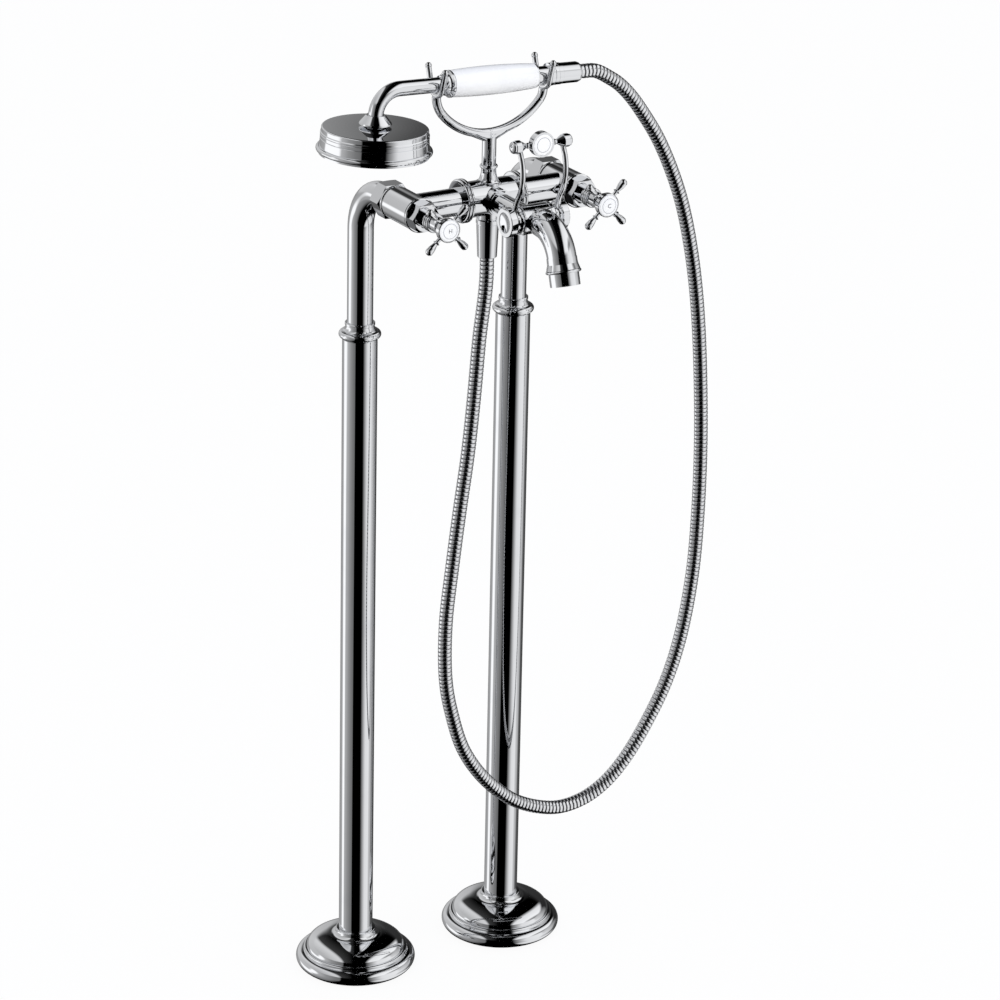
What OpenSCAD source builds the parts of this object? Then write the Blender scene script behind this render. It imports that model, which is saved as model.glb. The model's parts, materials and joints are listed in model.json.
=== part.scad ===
// Bath mixer with a hand shower, standing on two floor pillars.
// The origin is on the floor midway between the pillars, +X towards the cold side,
// -Y towards the bath and +Z up. All sizes are in millimetres.

/* [Layout] */
// Distance between the hot and the cold pillar axis
leg_spacing = 150; // [144:1:180]
// Height of the cross bar axis above the floor
bar_height = 723; // [620:1:900]
// Distance from the cross bar axis down to the collar bead
collar_below = 131; // [100:1:300]
// Distance from the pillar axes forward to the cross bar axis
bar_reach = 80; // [70:1:95]
// Distance from the cross bar axis forward to the lever pivot
hub_reach = 72; // [66:1:90]
// Height of the lever pivot above the cross bar axis
hub_rise = 1.5; // [0:0.5:3]
// Distance from the cross bar axis forward to a handle's porcelain face
handle_reach = 68; // [66:1:74]
// Height of the hand shower axis above the cross bar axis
handset_rise = 99; // [97:1:120]
// How far the hose end of the hand shower hangs lower, in degrees
handset_tilt = 2.2; // [0:0.1:3]

/* [Floor flange] */
// Outer radius of the bell shaped flange
flange_r = 53; // [50:1:60]
// Radius of the rounded outer rim
flange_rim_r = 6.5; // [6:0.5:7]
// Height of the flange
flange_h = 34.5; // [32:0.5:42]
// Wall of the flange
flange_wall = 1.8; // [1.2:0.1:2]
// Radius of the step ring's round section
step_bead_r = 1.7; // [1:0.1:2]
// Thickness of the floor plate inside the flange
plate_t = 10; // [6:1:10]
// Gap between the floor plate and the flange
plate_gap = 0.8; // [0.5:0.1:2]
// Radius of a floor screw hole
screw_hole_r = 3.3; // [2.5:0.1:4]
// Distance between the front and the back screw hole of a plate
screw_spread = 60; // [50:1:68]

/* [Pillar and riser] */
// Outer radius of the lower pillar tube
pillar_r = 15; // [14.5:0.5:16]
// Wall of the lower pillar tube
pillar_wall = 1.5; // [1:0.1:1.8]
// Outer radius of the riser tube
riser_r = 11; // [10.5:0.1:11.2]
// Wall of the riser tube
riser_wall = 1.5; // [1:0.1:1.8]
// Straight length of the riser between its elbow and its end flange
elbow_lead = 8; // [7:0.5:14]
// Outer radius of the supply tube inside the pillar
supply_r = 7.5; // [6.5:0.1:8]
// Wall of the supply tube
supply_wall = 1.5; // [1:0.1:2]
// Radius of the threaded inlet, half inch pipe thread
inlet_r = 9.3; // [8:0.1:9.5]
// Depth of the threaded inlet
inlet_depth = 14; // [10:1:18]
// Outer radius of the collar's bead
collar_bead_r = 18; // [17.5:0.5:20]
// Height of the collar above its bead
collar_rise = 10.5; // [8:0.5:14]
// Length of the collar's spigot inside the pillar
collar_spigot = 12; // [8:1:16]

/* [Valves] */
// Outer radius of a valve housing
housing_r = 14; // [13.5:0.1:15]
// Width of the union nut across its flats
nut_flats = 28; // [27.5:0.5:30]
// Width of the bonnet's hexagon across its flats
bonnet_flats = 22; // [20:0.5:24]
// Radius of the bonnet's neck over its ribs
bonnet_neck_r = 8.2; // [7.5:0.1:9]
// Radius of the valve spindle
spindle_r = 4; // [3:0.1:4.5]
// Radius of the cross handle over its tips
cross_r = 26; // [24:0.5:30]
// Radius of a cross arm where it leaves the boss
cross_rod_r = 1.7; // [1.3:0.1:2]
// Radius of a cross arm at its round end
cross_end_r = 3.2; // [2.6:0.1:3.4]
// Radius of the handle's boss
boss_r = 10; // [9.5:0.1:11]

/* [Cross bar] */
// Radius of the bar's side arms
arm_bar_r = 11.5; // [11:0.1:12]
// Radius of the bar's middle section
mid_bar_r = 15; // [14.5:0.1:16]
// Half length of the bar's middle section
mid_bar_half = 28.5; // [27:0.5:32]
// Radius of the bore along the bar
bar_bore_r = 8; // [7:0.1:8.5]
// Outer radius of the ring collars
bar_ring_r = 18.4; // [17.8:0.1:20]
// Width of a ring collar
bar_ring_w = 6; // [5:0.5:7]

/* [Diverter] */
// Radius of the diverter barrel
barrel_r = 12; // [11.5:0.1:13]
// Half length of the barrel
barrel_half = 14.4; // [14:0.1:16]
// Radius of the diverter shaft inside the barrel
shaft_r = 6; // [5:0.1:6.2]
// Radius of the neck that joins the bar and the barrel
feed_r = 9; // [8.5:0.1:10]
// Bore of the joining neck
feed_bore_r = 5.5; // [4:0.1:6]
// Radius of the lever's hub
lever_hub_r = 12.3; // [11.8:0.1:13]
// Radius of the lever hub at its turned waist
lever_waist_r = 8.9; // [8.5:0.1:9.5]
// Radius of a lever arm
lever_arm_r = 2.2; // [1.9:0.1:2.4]
// Height of the lever's cross rod above the pivot
lever_rise = 64.7; // [60:0.1:68]
// Bend radius of a lever arm where it leaves the hub
lever_foot_bend_r = 25; // [20:1:30]
// Bend radius of a lever arm where it bows forward
lever_bow_r = 35; // [33:1:38]
// Forward lean of a lever arm between its two bends, in degrees
lever_lean = 35; // [30:1:38]
// Radius of the lever's end knobs
knob_r = 5.5; // [5:0.1:6]
// Radius of the cup that holds the lever's porcelain disc
cup_r = 10.3; // [10:0.1:11.5]

/* [Spout] */
// Radius of the spout tube
spout_r = 12; // [11.4:0.1:12.8]
// Bend radius of the spout
spout_bend_r = 30; // [26:1:36]
// Angle through which the spout bends down, in degrees
spout_turn = 73; // [65:1:85]
// Radius of the waterway in the spout
spout_bore_r = 8.5; // [7:0.1:9]
// Straight length after the bend
spout_tail = 9; // [7:0.5:14]
// Outer radius of the outlet sleeve
sleeve_r = 12.3; // [12:0.1:13]
// Outer radius of the sleeve's bead
sleeve_bead_r = 14.5; // [13.5:0.1:15.5]
// Length of the outlet sleeve
sleeve_l = 13; // [12:0.5:16]

/* [Hose] */
// Outer radius of the ribbed hose
hose_r = 6; // [5.5:0.1:6.2]
// Bore radius of the hose
hose_bore_r = 3.8; // [3:0.1:4]
// Depth of the grooves between the ribs
rib_depth = 0.8; // [0.4:0.1:1]
// Number of ribs along the hose
rib_count = 160; // [80:1:200]
// Length of the lower, conical hose nut
lower_nut_l = 33.3; // [28:0.1:36]
// Length of the upper hose nut
upper_nut_l = 22.2; // [20:0.2:28]
// Radius of the lower hose nut over its ring
lower_nut_r = 9.8; // [9.5:0.1:11]
// Radius of the upper hose nut
upper_nut_r = 9; // [8.6:0.1:10]

/* [Cradle] */
// Half width of the fork between the middles of its arms
fork_half = 50.5; // [50.2:0.1:50.8]
// Radius of the fork's round rod
fork_rod_r = 3.7; // [3:0.1:4]
// Height of the fork's lowest point above the cross bar axis
fork_low = 54.8; // [50:0.2:60]
// Radius of the cradle stem
stem_r = 5.9; // [5:0.1:7]
// Radius of the cradle foot where it meets the bar
foot_r = 10.3; // [9:0.1:12]
// Height of a prong's tip above the hand shower axis
prong_rise = 13; // [10:0.5:16]
// Radius of a prong
prong_r = 2.3; // [1.8:0.1:2.4]

/* [Hand shower] */
// Distance from the stem axis to the spray head axis
head_reach = 105.6; // [104:0.1:120]
// Radius of the spray head's side below its top edge
head_r = 43.4; // [42:0.1:44]
// Radius of the spray head over its rim bead
head_rim_r = 47.3; // [46.8:0.1:50]
// Height of the spray head
head_h = 22; // [21:0.5:28]
// Distance from the hand shower axis down to the head's top plate
head_drop = 30; // [30:0.5:34]
// Wall of the spray head
head_wall = 1.6; // [1:0.1:2]
// Outer radius of the arm tube
tube_r = 6.2; // [5.5:0.1:6.2]
// Wall of the arm tube
tube_wall = 1; // [0.8:0.1:1.5]
// Bend radius of the arm tube
tube_bend_r = 20.5; // [18:0.5:20.5]
// Distance from the stem axis back to the head end of the grip
grip_back = 37.8; // [36:0.1:38.2]
// Length of the porcelain grip
grip_l = 78.2; // [76:0.1:79]
// Radius of the grip at its head end
grip_head_r = 11; // [10:0.1:12]
// Radius of the grip at its middle
grip_mid_r = 12; // [10.5:0.1:12.5]
// Radius of the grip at its hose end
grip_hose_r = 10.2; // [9.5:0.1:11]
// Radius of the grip's bore
grip_bore_r = 6.6; // [6.3:0.1:7.5]
// Radius of a spray hole
nozzle_r = 0.8; // [0.5:0.1:1]

/* [Hidden] */

$fn = 64;
hot = -1;
cold = 1;
// Radial gap of a running fit
fit = 0.05;
// Radial gap between nested pieces of one body
slip = 0.15;
// Gap between pieces on different bodies
clear = 0.35;
// Seam that shows between two turned pieces
seam = 0.3;
// Overrun of a cut past the face that it opens
over = 1;
// How much a joint's ball stands proud of the round rods that meet in it
proud = 0.12;
// Steps along a rounded stretch of an outline
arc_steps = 10;

chrome = "gainsboro";
steel = "silver";
brass = "goldenrod";
porcelain = "white";
rubber = "dimgray";

// Points round the middle c with the radii r, from angle a0 to a1, without the first
// point where the outline already stands on it
function arc(c, r, a0, a1, skip = 0) =
    [for (i = [skip : arc_steps]) let (a = a0 + (a1 - a0) * i / arc_steps)
        [c[0] + r[0] * cos(a), c[1] + r[1] * sin(a)]];
function round_arc(c, r, a0, a1, skip = 0) = arc(c, [r, r], a0, a1, skip);

module spin(points) {
    rotate_extrude() polygon(points);
}

// A rod along +Z from z0 to z1, or a tube when it has a bore
module rod(r, z0, z1, bore = 0) {
    difference() {
        translate([0, 0, z0]) cylinder(r = r, h = z1 - z0);
        if (bore > 0) through_cut(bore, z0, z1);
    }
}

module through_cut(r, z0, z1) {
    translate([0, 0, z0 - over]) cylinder(r = r, h = z1 - z0 + 2 * over);
}

// A cut from z0 that opens at z1
module blind_cut(r, z0, z1) {
    translate([0, 0, z0]) cylinder(r = r, h = z1 - z0 + over);
}

module cone(r0, r1, z0, z1) {
    translate([0, 0, z0]) cylinder(r1 = r0, r2 = r1, h = z1 - z0);
}

// A hexagonal length with one flat facing local +Y and both ends chamfered
hexagon_sides = 6;
module hexagon(flats, z0, z1) {
    corner_r = flats / (2 * cos(30));
    edge = (corner_r - flats / 2) / 2;
    intersection() {
        translate([0, 0, z0]) cylinder(r = corner_r, h = z1 - z0, $fn = hexagon_sides);
        spin([[0, z0], [flats / 2, z0], [corner_r, z0 + edge], [corner_r, z1 - edge],
            [flats / 2, z1], [0, z1]]);
    }
}

// A round bend that starts upwards along +Z and turns towards -Y
module bend(bend_r, r, angle) {
    translate([0, -bend_r, 0]) rotate([90, 0, 90])
        rotate_extrude(angle = angle) translate([bend_r, 0]) circle(r);
}

module after_bend(bend_r, angle) {
    translate([0, -bend_r + bend_r * cos(angle), bend_r * sin(angle)])
        rotate([angle, 0, 0]) children();
}

// Round rods bent in the YZ plane and in the XZ plane, with angles from +Y and +X upwards
module yz_arc(bend_r, r, a0, a1) {
    rotate([90, 0, 90]) rotate([0, 0, a0])
        rotate_extrude(angle = a1 - a0) translate([bend_r, 0]) circle(r);
}

module xz_arc(bend_r, r, a0, a1) {
    rotate([90, 0, 0]) rotate([0, 0, a0])
        rotate_extrude(angle = a1 - a0) translate([bend_r, 0]) circle(r);
}

module leg_frame(side) {
    translate([side * leg_spacing / 2, 0, 0]) children();
}

// Local +Z runs forward from the pillar axis at the height of the cross bar
module valve_frame(side) {
    translate([side * leg_spacing / 2, 0, bar_height]) rotate([90, 0, 0]) children();
}

// Local +Z runs along the cross bar, outwards on the given side
module bar_frame(side) {
    translate([0, -bar_reach, bar_height]) rotate([0, side * 90, 0]) children();
}

// Upright on the cross bar axis
module stem_frame() {
    translate([0, -bar_reach, bar_height]) children();
}

// Local +Z runs forward from the cross bar axis
module front_frame() {
    stem_frame() rotate([90, 0, 0]) children();
}

// Upright at the lever pivot
module hub_frame() {
    translate([0, -bar_reach - hub_reach, bar_height + hub_rise]) children();
}

// Local +Z runs outwards along the lever pivot on the given side
module hub_side(side) {
    hub_frame() rotate([0, side * 90, 0]) children();
}

module hub_forward() {
    hub_frame() rotate([90, 0, 0]) children();
}

// Local +X runs along the hand shower towards its hose
module handset_frame() {
    translate([0, -bar_reach, bar_height + handset_rise]) rotate([0, handset_tilt, 0]) children();
}

module handset_axis() {
    handset_frame() rotate([0, 90, 0]) children();
}

module head_frame() {
    handset_frame() translate([-head_reach, 0, 0]) children();
}

// Floor flange, from its rim inwards and up to the lip round the pillar
rim_mid_r = flange_r - flange_rim_r;
rim_top = 2 * flange_rim_r;
step_inset = 2.1;
step_mid_r = rim_mid_r - step_inset;
step_z = rim_top + step_bead_r;
dome_foot_r = step_mid_r - step_bead_r / 2;
dome_foot_z = step_z + step_bead_r;
flange_bore_r = pillar_r + slip;
lip_land = 1.7;
lip_bead_r = 0.6;
throat_r = 5.2;
lip_mid_r = flange_bore_r + lip_land;
lip_z = flange_h - lip_bead_r;
dome_top_r = lip_mid_r + throat_r;
dome_top_z = lip_z - lip_bead_r - throat_r;
dome_w = dome_foot_r - dome_top_r;
dome_h = dome_top_z - dome_foot_z;
cavity_r = rim_mid_r - flange_wall;

module floor_flange(side) {
    color(chrome) leg_frame(side) spin(concat(
        [[cavity_r, 0]],
        round_arc([rim_mid_r, flange_rim_r], flange_rim_r, -90, 90),
        round_arc([step_mid_r, step_z], step_bead_r, -30, 90),
        arc([dome_top_r, dome_foot_z], [dome_w, dome_h], 0, 90),
        round_arc([dome_top_r, dome_top_z + throat_r], throat_r, -90, -180, 1),
        round_arc([lip_mid_r, lip_z], lip_bead_r, -90, 90, 1),
        [[flange_bore_r, flange_h], [flange_bore_r, dome_top_z - flange_wall]],
        arc([dome_top_r, dome_foot_z], [dome_w - flange_wall, dome_h - flange_wall], 90, 0),
        [[cavity_r, rim_top - flange_wall]]));
}
module hot_floor_flange() { floor_flange(hot); }
module cold_floor_flange() { floor_flange(cold); }

// Floor plate with two countersunk screw holes, and the supply socket through its bore
socket_wall = 3.1;
socket_r = inlet_r + socket_wall;
plate_r = cavity_r - plate_gap;
countersink_r = 1.7 * screw_hole_r;

module floor_plate(side) {
    color(steel) leg_frame(side) difference() {
        rod(plate_r, 0, plate_t, socket_r + slip);
        for (way = [-1, 1]) translate([0, way * screw_spread / 2, 0]) {
            through_cut(screw_hole_r, 0, plate_t);
            cone(screw_hole_r, countersink_r, plate_t - countersink_r + screw_hole_r, plate_t);
        }
    }
}
module hot_floor_plate() { floor_plate(hot); }
module cold_floor_plate() { floor_plate(cold); }

// Lower pillar, standing on the floor plate
collar_height = bar_height - collar_below;
collar_drop = 4;
pillar_top = collar_height - collar_drop;
module pillar(side) {
    color(chrome) leg_frame(side) rod(pillar_r, plate_t, pillar_top, pillar_r - pillar_wall);
}
module hot_pillar() { pillar(hot); }
module cold_pillar() { pillar(cold); }

// Collar that closes the pillar round the riser
collar_bead = 3.2;
collar_mid_r = collar_bead_r - collar_bead;
collar_ring_w = 1.8;
collar_ring_r = riser_r + collar_ring_w;
collar_ring_h = 2.5;
collar_top = collar_height + collar_rise;
collar_ring_z = collar_top - collar_ring_h;
collar_edge = 0.4;
collar_neck_r = collar_ring_r - collar_edge;
module collar(side) {
    color(chrome) leg_frame(side) spin(concat(
        [[riser_r + fit, pillar_top - collar_spigot],
            [pillar_r - pillar_wall - slip, pillar_top - collar_spigot],
            [pillar_r - pillar_wall - slip, pillar_top], [pillar_r, pillar_top]],
        round_arc([collar_mid_r, collar_height], collar_bead, -60, 90),
        arc([collar_mid_r, collar_ring_z],
            [collar_mid_r - collar_neck_r, collar_ring_z - collar_height - collar_bead],
            -90, -180, 1),
        [[collar_ring_r, collar_ring_z + collar_edge], [collar_ring_r, collar_top - collar_edge],
            [collar_neck_r, collar_top], [riser_r + fit, collar_top]]));
}
module hot_collar() { collar(hot); }
module cold_collar() { collar(cold); }

// Distances forward from the pillar axes, along a valve
housing_tail = 19.7;
housing_nose = 18;
spigot_reach = 9.3;
washer_t = 2;
tail_flange_t = 3;
nut_web = 3.5;
nut_ring_w = 3;
housing_back = bar_reach - housing_tail;
housing_front = bar_reach + housing_nose;
spigot_back = housing_back - spigot_reach;
riser_end = spigot_back - washer_t;
flange_back = riser_end - tail_flange_t;
elbow_r = flange_back - elbow_lead;
nut_back = flange_back - nut_web;
nut_front = housing_back - seam;
nut_hex_end = nut_front - nut_ring_w;
tail_r = 12.4;
inlet_bore_r = 8;

// Supply tube, from the threaded socket in the floor plate to its spigot in the riser
socket_flange_t = 5;
shoulder_h = 6;
spigot_h = 14;
supply_bore_r = supply_r - supply_wall;
riser_bore_r = riser_r - riser_wall;
riser_inset = 16;
riser_foot = collar_height - riser_inset;
module supply_tube(side) {
    color(brass) leg_frame(side) difference() {
        union() {
            rod(socket_r, 0, plate_t);
            rod(pillar_r - pillar_wall - slip, plate_t, plate_t + socket_flange_t + inlet_depth / 4);
            rod(supply_r, 0, riser_foot);
            rod(riser_r - seam / 2, riser_foot - shoulder_h, riser_foot);
            rod(riser_bore_r - slip, riser_foot - shoulder_h, riser_foot + spigot_h);
        }
        through_cut(supply_bore_r, 0, riser_foot + spigot_h);
        through_cut(inlet_r, 0 - inlet_depth, inlet_depth - over);
    }
}
module hot_supply_tube() { supply_tube(hot); }
module cold_supply_tube() { supply_tube(cold); }

// Riser with its elbow and the flange that the union nut draws up
module riser(side) {
    elbow_z = bar_height - elbow_r;
    color(chrome) leg_frame(side) difference() {
        union() {
            rod(riser_r, riser_foot, elbow_z);
            translate([0, 0, elbow_z]) {
                bend(elbow_r, riser_r, 90);
                after_bend(elbow_r, 90) {
                    rod(riser_r, 0, riser_end - elbow_r);
                    rod(tail_r, flange_back - elbow_r, riser_end - elbow_r);
                }
            }
        }
        union() {
            translate([0, 0, riser_foot - over])
                cylinder(r = riser_bore_r, h = elbow_z - riser_foot + over);
            translate([0, 0, elbow_z]) {
                bend(elbow_r, riser_bore_r, 90);
                after_bend(elbow_r, 90) blind_cut(riser_bore_r, 0, riser_end - elbow_r);
            }
        }
    }
}
module hot_riser() { riser(hot); }
module cold_riser() { riser(cold); }

// Union nut with a round ring on its front, and its washer
module union_nut(side) {
    ring_edge = nut_ring_w / 4;
    ring_r = nut_flats / 2 + seam;
    color(chrome) valve_frame(side) difference() {
        union() {
            hexagon(nut_flats, nut_back, nut_hex_end);
            spin([[0, nut_hex_end], [ring_r - ring_edge, nut_hex_end],
                [ring_r, nut_hex_end + ring_edge], [ring_r, nut_front - ring_edge],
                [ring_r - ring_edge, nut_front], [0, nut_front]]);
        }
        through_cut(riser_r + slip, nut_back, nut_front);
        blind_cut(tail_r + slip, flange_back, nut_front);
    }
}
module hot_union_nut() { union_nut(hot); }
module cold_union_nut() { union_nut(cold); }

module union_washer(side) {
    color(rubber) valve_frame(side) rod(tail_r - seam / 2, riser_end, spigot_back, inlet_bore_r);
}
module hot_union_washer() { union_washer(hot); }
module cold_union_washer() { union_washer(cold); }

// Mixer body: two valve housings on one bar, with seats for the diverter, the hose
// outlet and the cradle
cartridge_r = 10.9;
cartridge_bore_r = cartridge_r + 2 * fit;
cartridge_seat = bar_reach - bar_bore_r;
front_boss_h = 5;
front_boss_r = 11.5;
front_boss_end = mid_bar_r + front_boss_h;
feed_spigot_r = 7.9;
outlet_boss_r = 8.5;
outlet_boss_h = 2;
outlet_boss_end = mid_bar_r + outlet_boss_h;
outlet_thread_r = 7;
stud_r = 4;
stud_depth = 4.5;
housing_edge = 0.8;
module mixer_body() {
    color(chrome) difference() {
        union() {
            for (side = [hot, cold]) {
                valve_frame(side) {
                    rod(tail_r, spigot_back, bar_reach);
                    spin([[0, housing_back], [housing_r - housing_edge, housing_back],
                        [housing_r, housing_back + housing_edge],
                        [housing_r, housing_front - housing_edge],
                        [housing_r - housing_edge, housing_front], [0, housing_front]]);
                }
                bar_frame(side) rod(arm_bar_r, 0, leg_spacing / 2);
            }
            bar_frame(cold) rod(mid_bar_r, -mid_bar_half, mid_bar_half);
            front_frame() rod(front_boss_r, 0, front_boss_end);
            stem_frame() rod(outlet_boss_r, -outlet_boss_end, 0);
        }
        for (side = [hot, cold]) {
            valve_frame(side) {
                through_cut(inlet_bore_r, spigot_back, cartridge_seat);
                blind_cut(cartridge_bore_r, cartridge_seat, housing_front);
            }
        }
        bar_frame(cold) translate([0, 0, -leg_spacing / 2])
            cylinder(r = bar_bore_r, h = leg_spacing);
        front_frame() blind_cut(feed_spigot_r + slip, 0, front_boss_end);
        stem_frame() translate([0, 0, -outlet_boss_end - over])
            cylinder(r = outlet_thread_r + slip, h = outlet_boss_end + over);
        stem_frame() blind_cut(stud_r + slip, mid_bar_r - stud_depth - slip, mid_bar_r);
    }
}

// Double ring collars on the bar's shoulders
module bar_ring(side) {
    bead_r = bar_ring_w / 4;
    mid = mid_bar_half - bar_ring_w / 2 - seam;
    color(chrome) bar_frame(side) spin(concat(
        [[mid_bar_r + fit, mid - 2 * bead_r]],
        round_arc([bar_ring_r - bead_r, mid - bead_r], bead_r, -90, 90),
        round_arc([bar_ring_r - bead_r, mid + bead_r], bead_r, -90, 90, 1),
        [[mid_bar_r + fit, mid + 2 * bead_r]]));
}
module hot_bar_ring() { bar_ring(hot); }
module cold_bar_ring() { bar_ring(cold); }

// Bonnet: thread in the housing, flange, hexagon and ribbed neck
bonnet_thread = 8;
bonnet_flange_t = 3;
bonnet_hex_h = 9;
bonnet_lip = 0.4;
bonnet_flange_r = housing_r + bonnet_lip;
handle_depth = 23.6;
bonnet_back = housing_front - bonnet_thread;
hex_back = housing_front + bonnet_flange_t;
hex_front = hex_back + bonnet_hex_h;
handle_face = bar_reach + handle_reach;
handle_back = handle_face - handle_depth;
neck_end = handle_back - clear;
neck_ribs = 3;
neck_rib_r = 1.4;
neck_core_r = bonnet_neck_r - neck_rib_r;
liner_r = 6.1;
module bonnet(side) {
    flange_edge = bonnet_flange_t / 4;
    rib_foot = neck_end - 2 * neck_ribs * neck_rib_r;
    color(chrome) valve_frame(side) difference() {
        union() {
            rod(cartridge_r, bonnet_back, hex_back);
            spin([[0, housing_front], [bonnet_flange_r - flange_edge, housing_front],
                [bonnet_flange_r, housing_front + flange_edge],
                [bonnet_flange_r, hex_back - flange_edge],
                [bonnet_flange_r - flange_edge, hex_back], [0, hex_back]]);
            hexagon(bonnet_flats, hex_back - over, hex_front);
            rod(neck_core_r + neck_rib_r / 2, hex_back, neck_end);
            spin(concat([[0, rib_foot], [neck_core_r, rib_foot]],
                [for (i = [0 : neck_ribs - 1])
                    each round_arc([neck_core_r, rib_foot + (2 * i + 1) * neck_rib_r],
                        neck_rib_r, -90, 90, 1)],
                [[0, neck_end]]));
        }
        through_cut(spindle_r + fit, bonnet_back, neck_end);
        through_cut(liner_r + slip, bonnet_back, hex_front - over);
    }
}
module hot_bonnet() { bonnet(hot); }
module cold_bonnet() { bonnet(cold); }

// Ceramic cartridge, held between the housing's seat and the bonnet
spindle_seat = bar_reach + bar_bore_r;
port_r = 3.8;
module cartridge(side) {
    color(brass) valve_frame(side) difference() {
        union() {
            rod(cartridge_r, cartridge_seat, bonnet_back);
            rod(liner_r, cartridge_seat, hex_front - 2 * over);
        }
        blind_cut(spindle_r + fit, spindle_seat, hex_front);
        through_cut(port_r, cartridge_seat, bar_reach);
        translate([0, 0, bar_reach]) rotate([0, 90, 0])
            translate([0, 0, -housing_r]) cylinder(r = port_r, h = 2 * housing_r);
    }
}
module hot_cartridge() { cartridge(hot); }
module cold_cartridge() { cartridge(cold); }

// Spindle with the hole for the handle screw
spindle_grip = 9.6;
screw_r = 1.6;
screw_engage = 4;
spindle_end = handle_back + spindle_grip;
module spindle(side) {
    color(brass) valve_frame(side) difference() {
        rod(spindle_r, spindle_seat + seam, spindle_end);
        blind_cut(screw_r + fit, spindle_end - screw_engage - seam, spindle_end);
    }
}
module hot_spindle() { spindle(hot); }
module cold_spindle() { spindle(cold); }

// Cross handle: hub, dished boss and four arms with round ends
disc_seat = 3.4;
disc_r = 9;
hub_r = 6.5;
hub_h = 8.6;
boss_h = 9.5;
boss_edge = 0.6;
arm_drop = 5.5;
arm_count = 4;
arm_turn = 45;
screw_head_r = 3.4;
screw_head_t = 2;
disc_floor = handle_face - disc_seat;
disc_proud = 1.4;
boss_front = handle_face - disc_proud;
head_floor = disc_floor - screw_head_t - seam;
module handle(side) {
    boss_back = boss_front - boss_h;
    arm_collar = 3 * cross_rod_r;
    color(chrome) valve_frame(side) difference() {
        union() {
            spin([[0, handle_back], [hub_r - boss_edge, handle_back],
                [hub_r, handle_back + boss_edge], [hub_r, handle_back + hub_h],
                [boss_r, boss_back + boss_h / 2], [boss_r, boss_front - boss_edge],
                [boss_r - boss_edge, boss_front], [0, boss_front]]);
            for (i = [0 : arm_count - 1]) rotate([0, 0, arm_turn + 360 / arm_count * i])
                translate([0, 0, handle_face - arm_drop]) rotate([0, 90, 0]) {
                    rod(cross_rod_r, 0, cross_r / 2 + cross_rod_r);
                    spin([[0, cross_r / 2], [cross_rod_r, cross_r / 2],
                        [cross_end_r - seam, cross_r / 2 + cross_rod_r / 2],
                        [cross_rod_r, cross_r / 2 + cross_rod_r],
                        [cross_end_r - seam, cross_r * 3 / 4],
                        [cross_end_r, cross_r - cross_end_r], [0, cross_r - cross_end_r]]);
                    translate([0, 0, cross_r - cross_end_r]) sphere(r = cross_end_r);
                }
        }
        translate([0, 0, handle_back - over])
            cylinder(r = spindle_r + slip, h = spindle_grip + slip + over);
        through_cut(screw_r + slip, handle_back, boss_front);
        blind_cut(screw_head_r + slip, head_floor, boss_front);
        blind_cut(disc_r + slip, disc_floor, boss_front);
    }
}
module hot_handle() { handle(hot); }
module cold_handle() { handle(cold); }

module handle_screw(side) {
    color(steel) valve_frame(side) difference() {
        union() {
            rod(screw_r, spindle_end - screw_engage, head_floor);
            rod(screw_head_r, head_floor, head_floor + screw_head_t);
        }
        translate([-screw_head_r - over, -screw_r / 4, head_floor + screw_head_t / 2])
            cube([2 * screw_head_r + 2 * over, screw_r / 2, screw_head_t]);
    }
}
module hot_handle_screw() { handle_screw(hot); }
module cold_handle_screw() { handle_screw(cold); }

// Porcelain disc, bare, in the dish of the handle
disc_edge = 0.6;
disc_crown = 1;
module index_disc(side) {
    color(porcelain) valve_frame(side) spin(concat(
        [[0, disc_floor], [disc_r, disc_floor], [disc_r, handle_face - disc_crown - disc_edge]],
        arc([0, handle_face - disc_crown], [disc_r - disc_edge, disc_crown], 0, 90)));
}
module hot_index_disc() { index_disc(hot); }
module cold_index_disc() { index_disc(cold); }

// Diverter housing: joining neck, barrel along the lever pivot and a front boss
feed_flange_r = 10.6;
feed_flange_t = 2;
feed_spigot_l = 8;
spout_boss_r = 10.5;
spout_seat = barrel_r + seam;
spout_root_r = 7;
barrel_bead = 1.5;
module diverter_housing() {
    color(chrome) difference() {
        union() {
            front_frame() {
                rod(feed_spigot_r, front_boss_end - feed_spigot_l, hub_reach);
                rod(feed_flange_r, front_boss_end, front_boss_end + feed_flange_t);
                rod(feed_r, front_boss_end, hub_reach);
            }
            hub_forward() rod(spout_boss_r, 0, spout_seat);
            hub_side(cold) rod(barrel_r, -barrel_half, barrel_half);
            for (side = [hot, cold]) hub_side(side)
                rod(barrel_r + seam, barrel_half - 2 * barrel_bead, barrel_half - barrel_bead / 2);
        }
        hub_side(cold) through_cut(shaft_r + fit, -barrel_half, barrel_half);
        front_frame() translate([0, 0, front_boss_end - feed_spigot_l - over])
            cylinder(r = feed_bore_r, h = hub_reach - front_boss_end + feed_spigot_l + over);
        hub_forward() rod(feed_bore_r, 0, spout_seat);
        hub_forward() blind_cut(spout_root_r + slip, shaft_r + 2 * fit, spout_seat);
    }
}

// Diverter shaft, driven by the lever's two hubs
hub_inner = barrel_half + seam;
hub_waist_w = 6.5;
hub_flange_w = 6.2;
hub_outer = hub_inner + hub_waist_w + hub_flange_w;
cap_r = 8.4;
cap_t = 2;
drive_r = 4;
module diverter_shaft() {
    color(brass) difference() {
        union() {
            hub_side(cold) rod(shaft_r, -barrel_half, barrel_half);
            hub_side(cold) rod(drive_r, cap_t - hub_outer, hub_outer - cap_t);
        }
        hub_forward() rod(port_r, -2 * shaft_r, 2 * shaft_r);
    }
}

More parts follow.
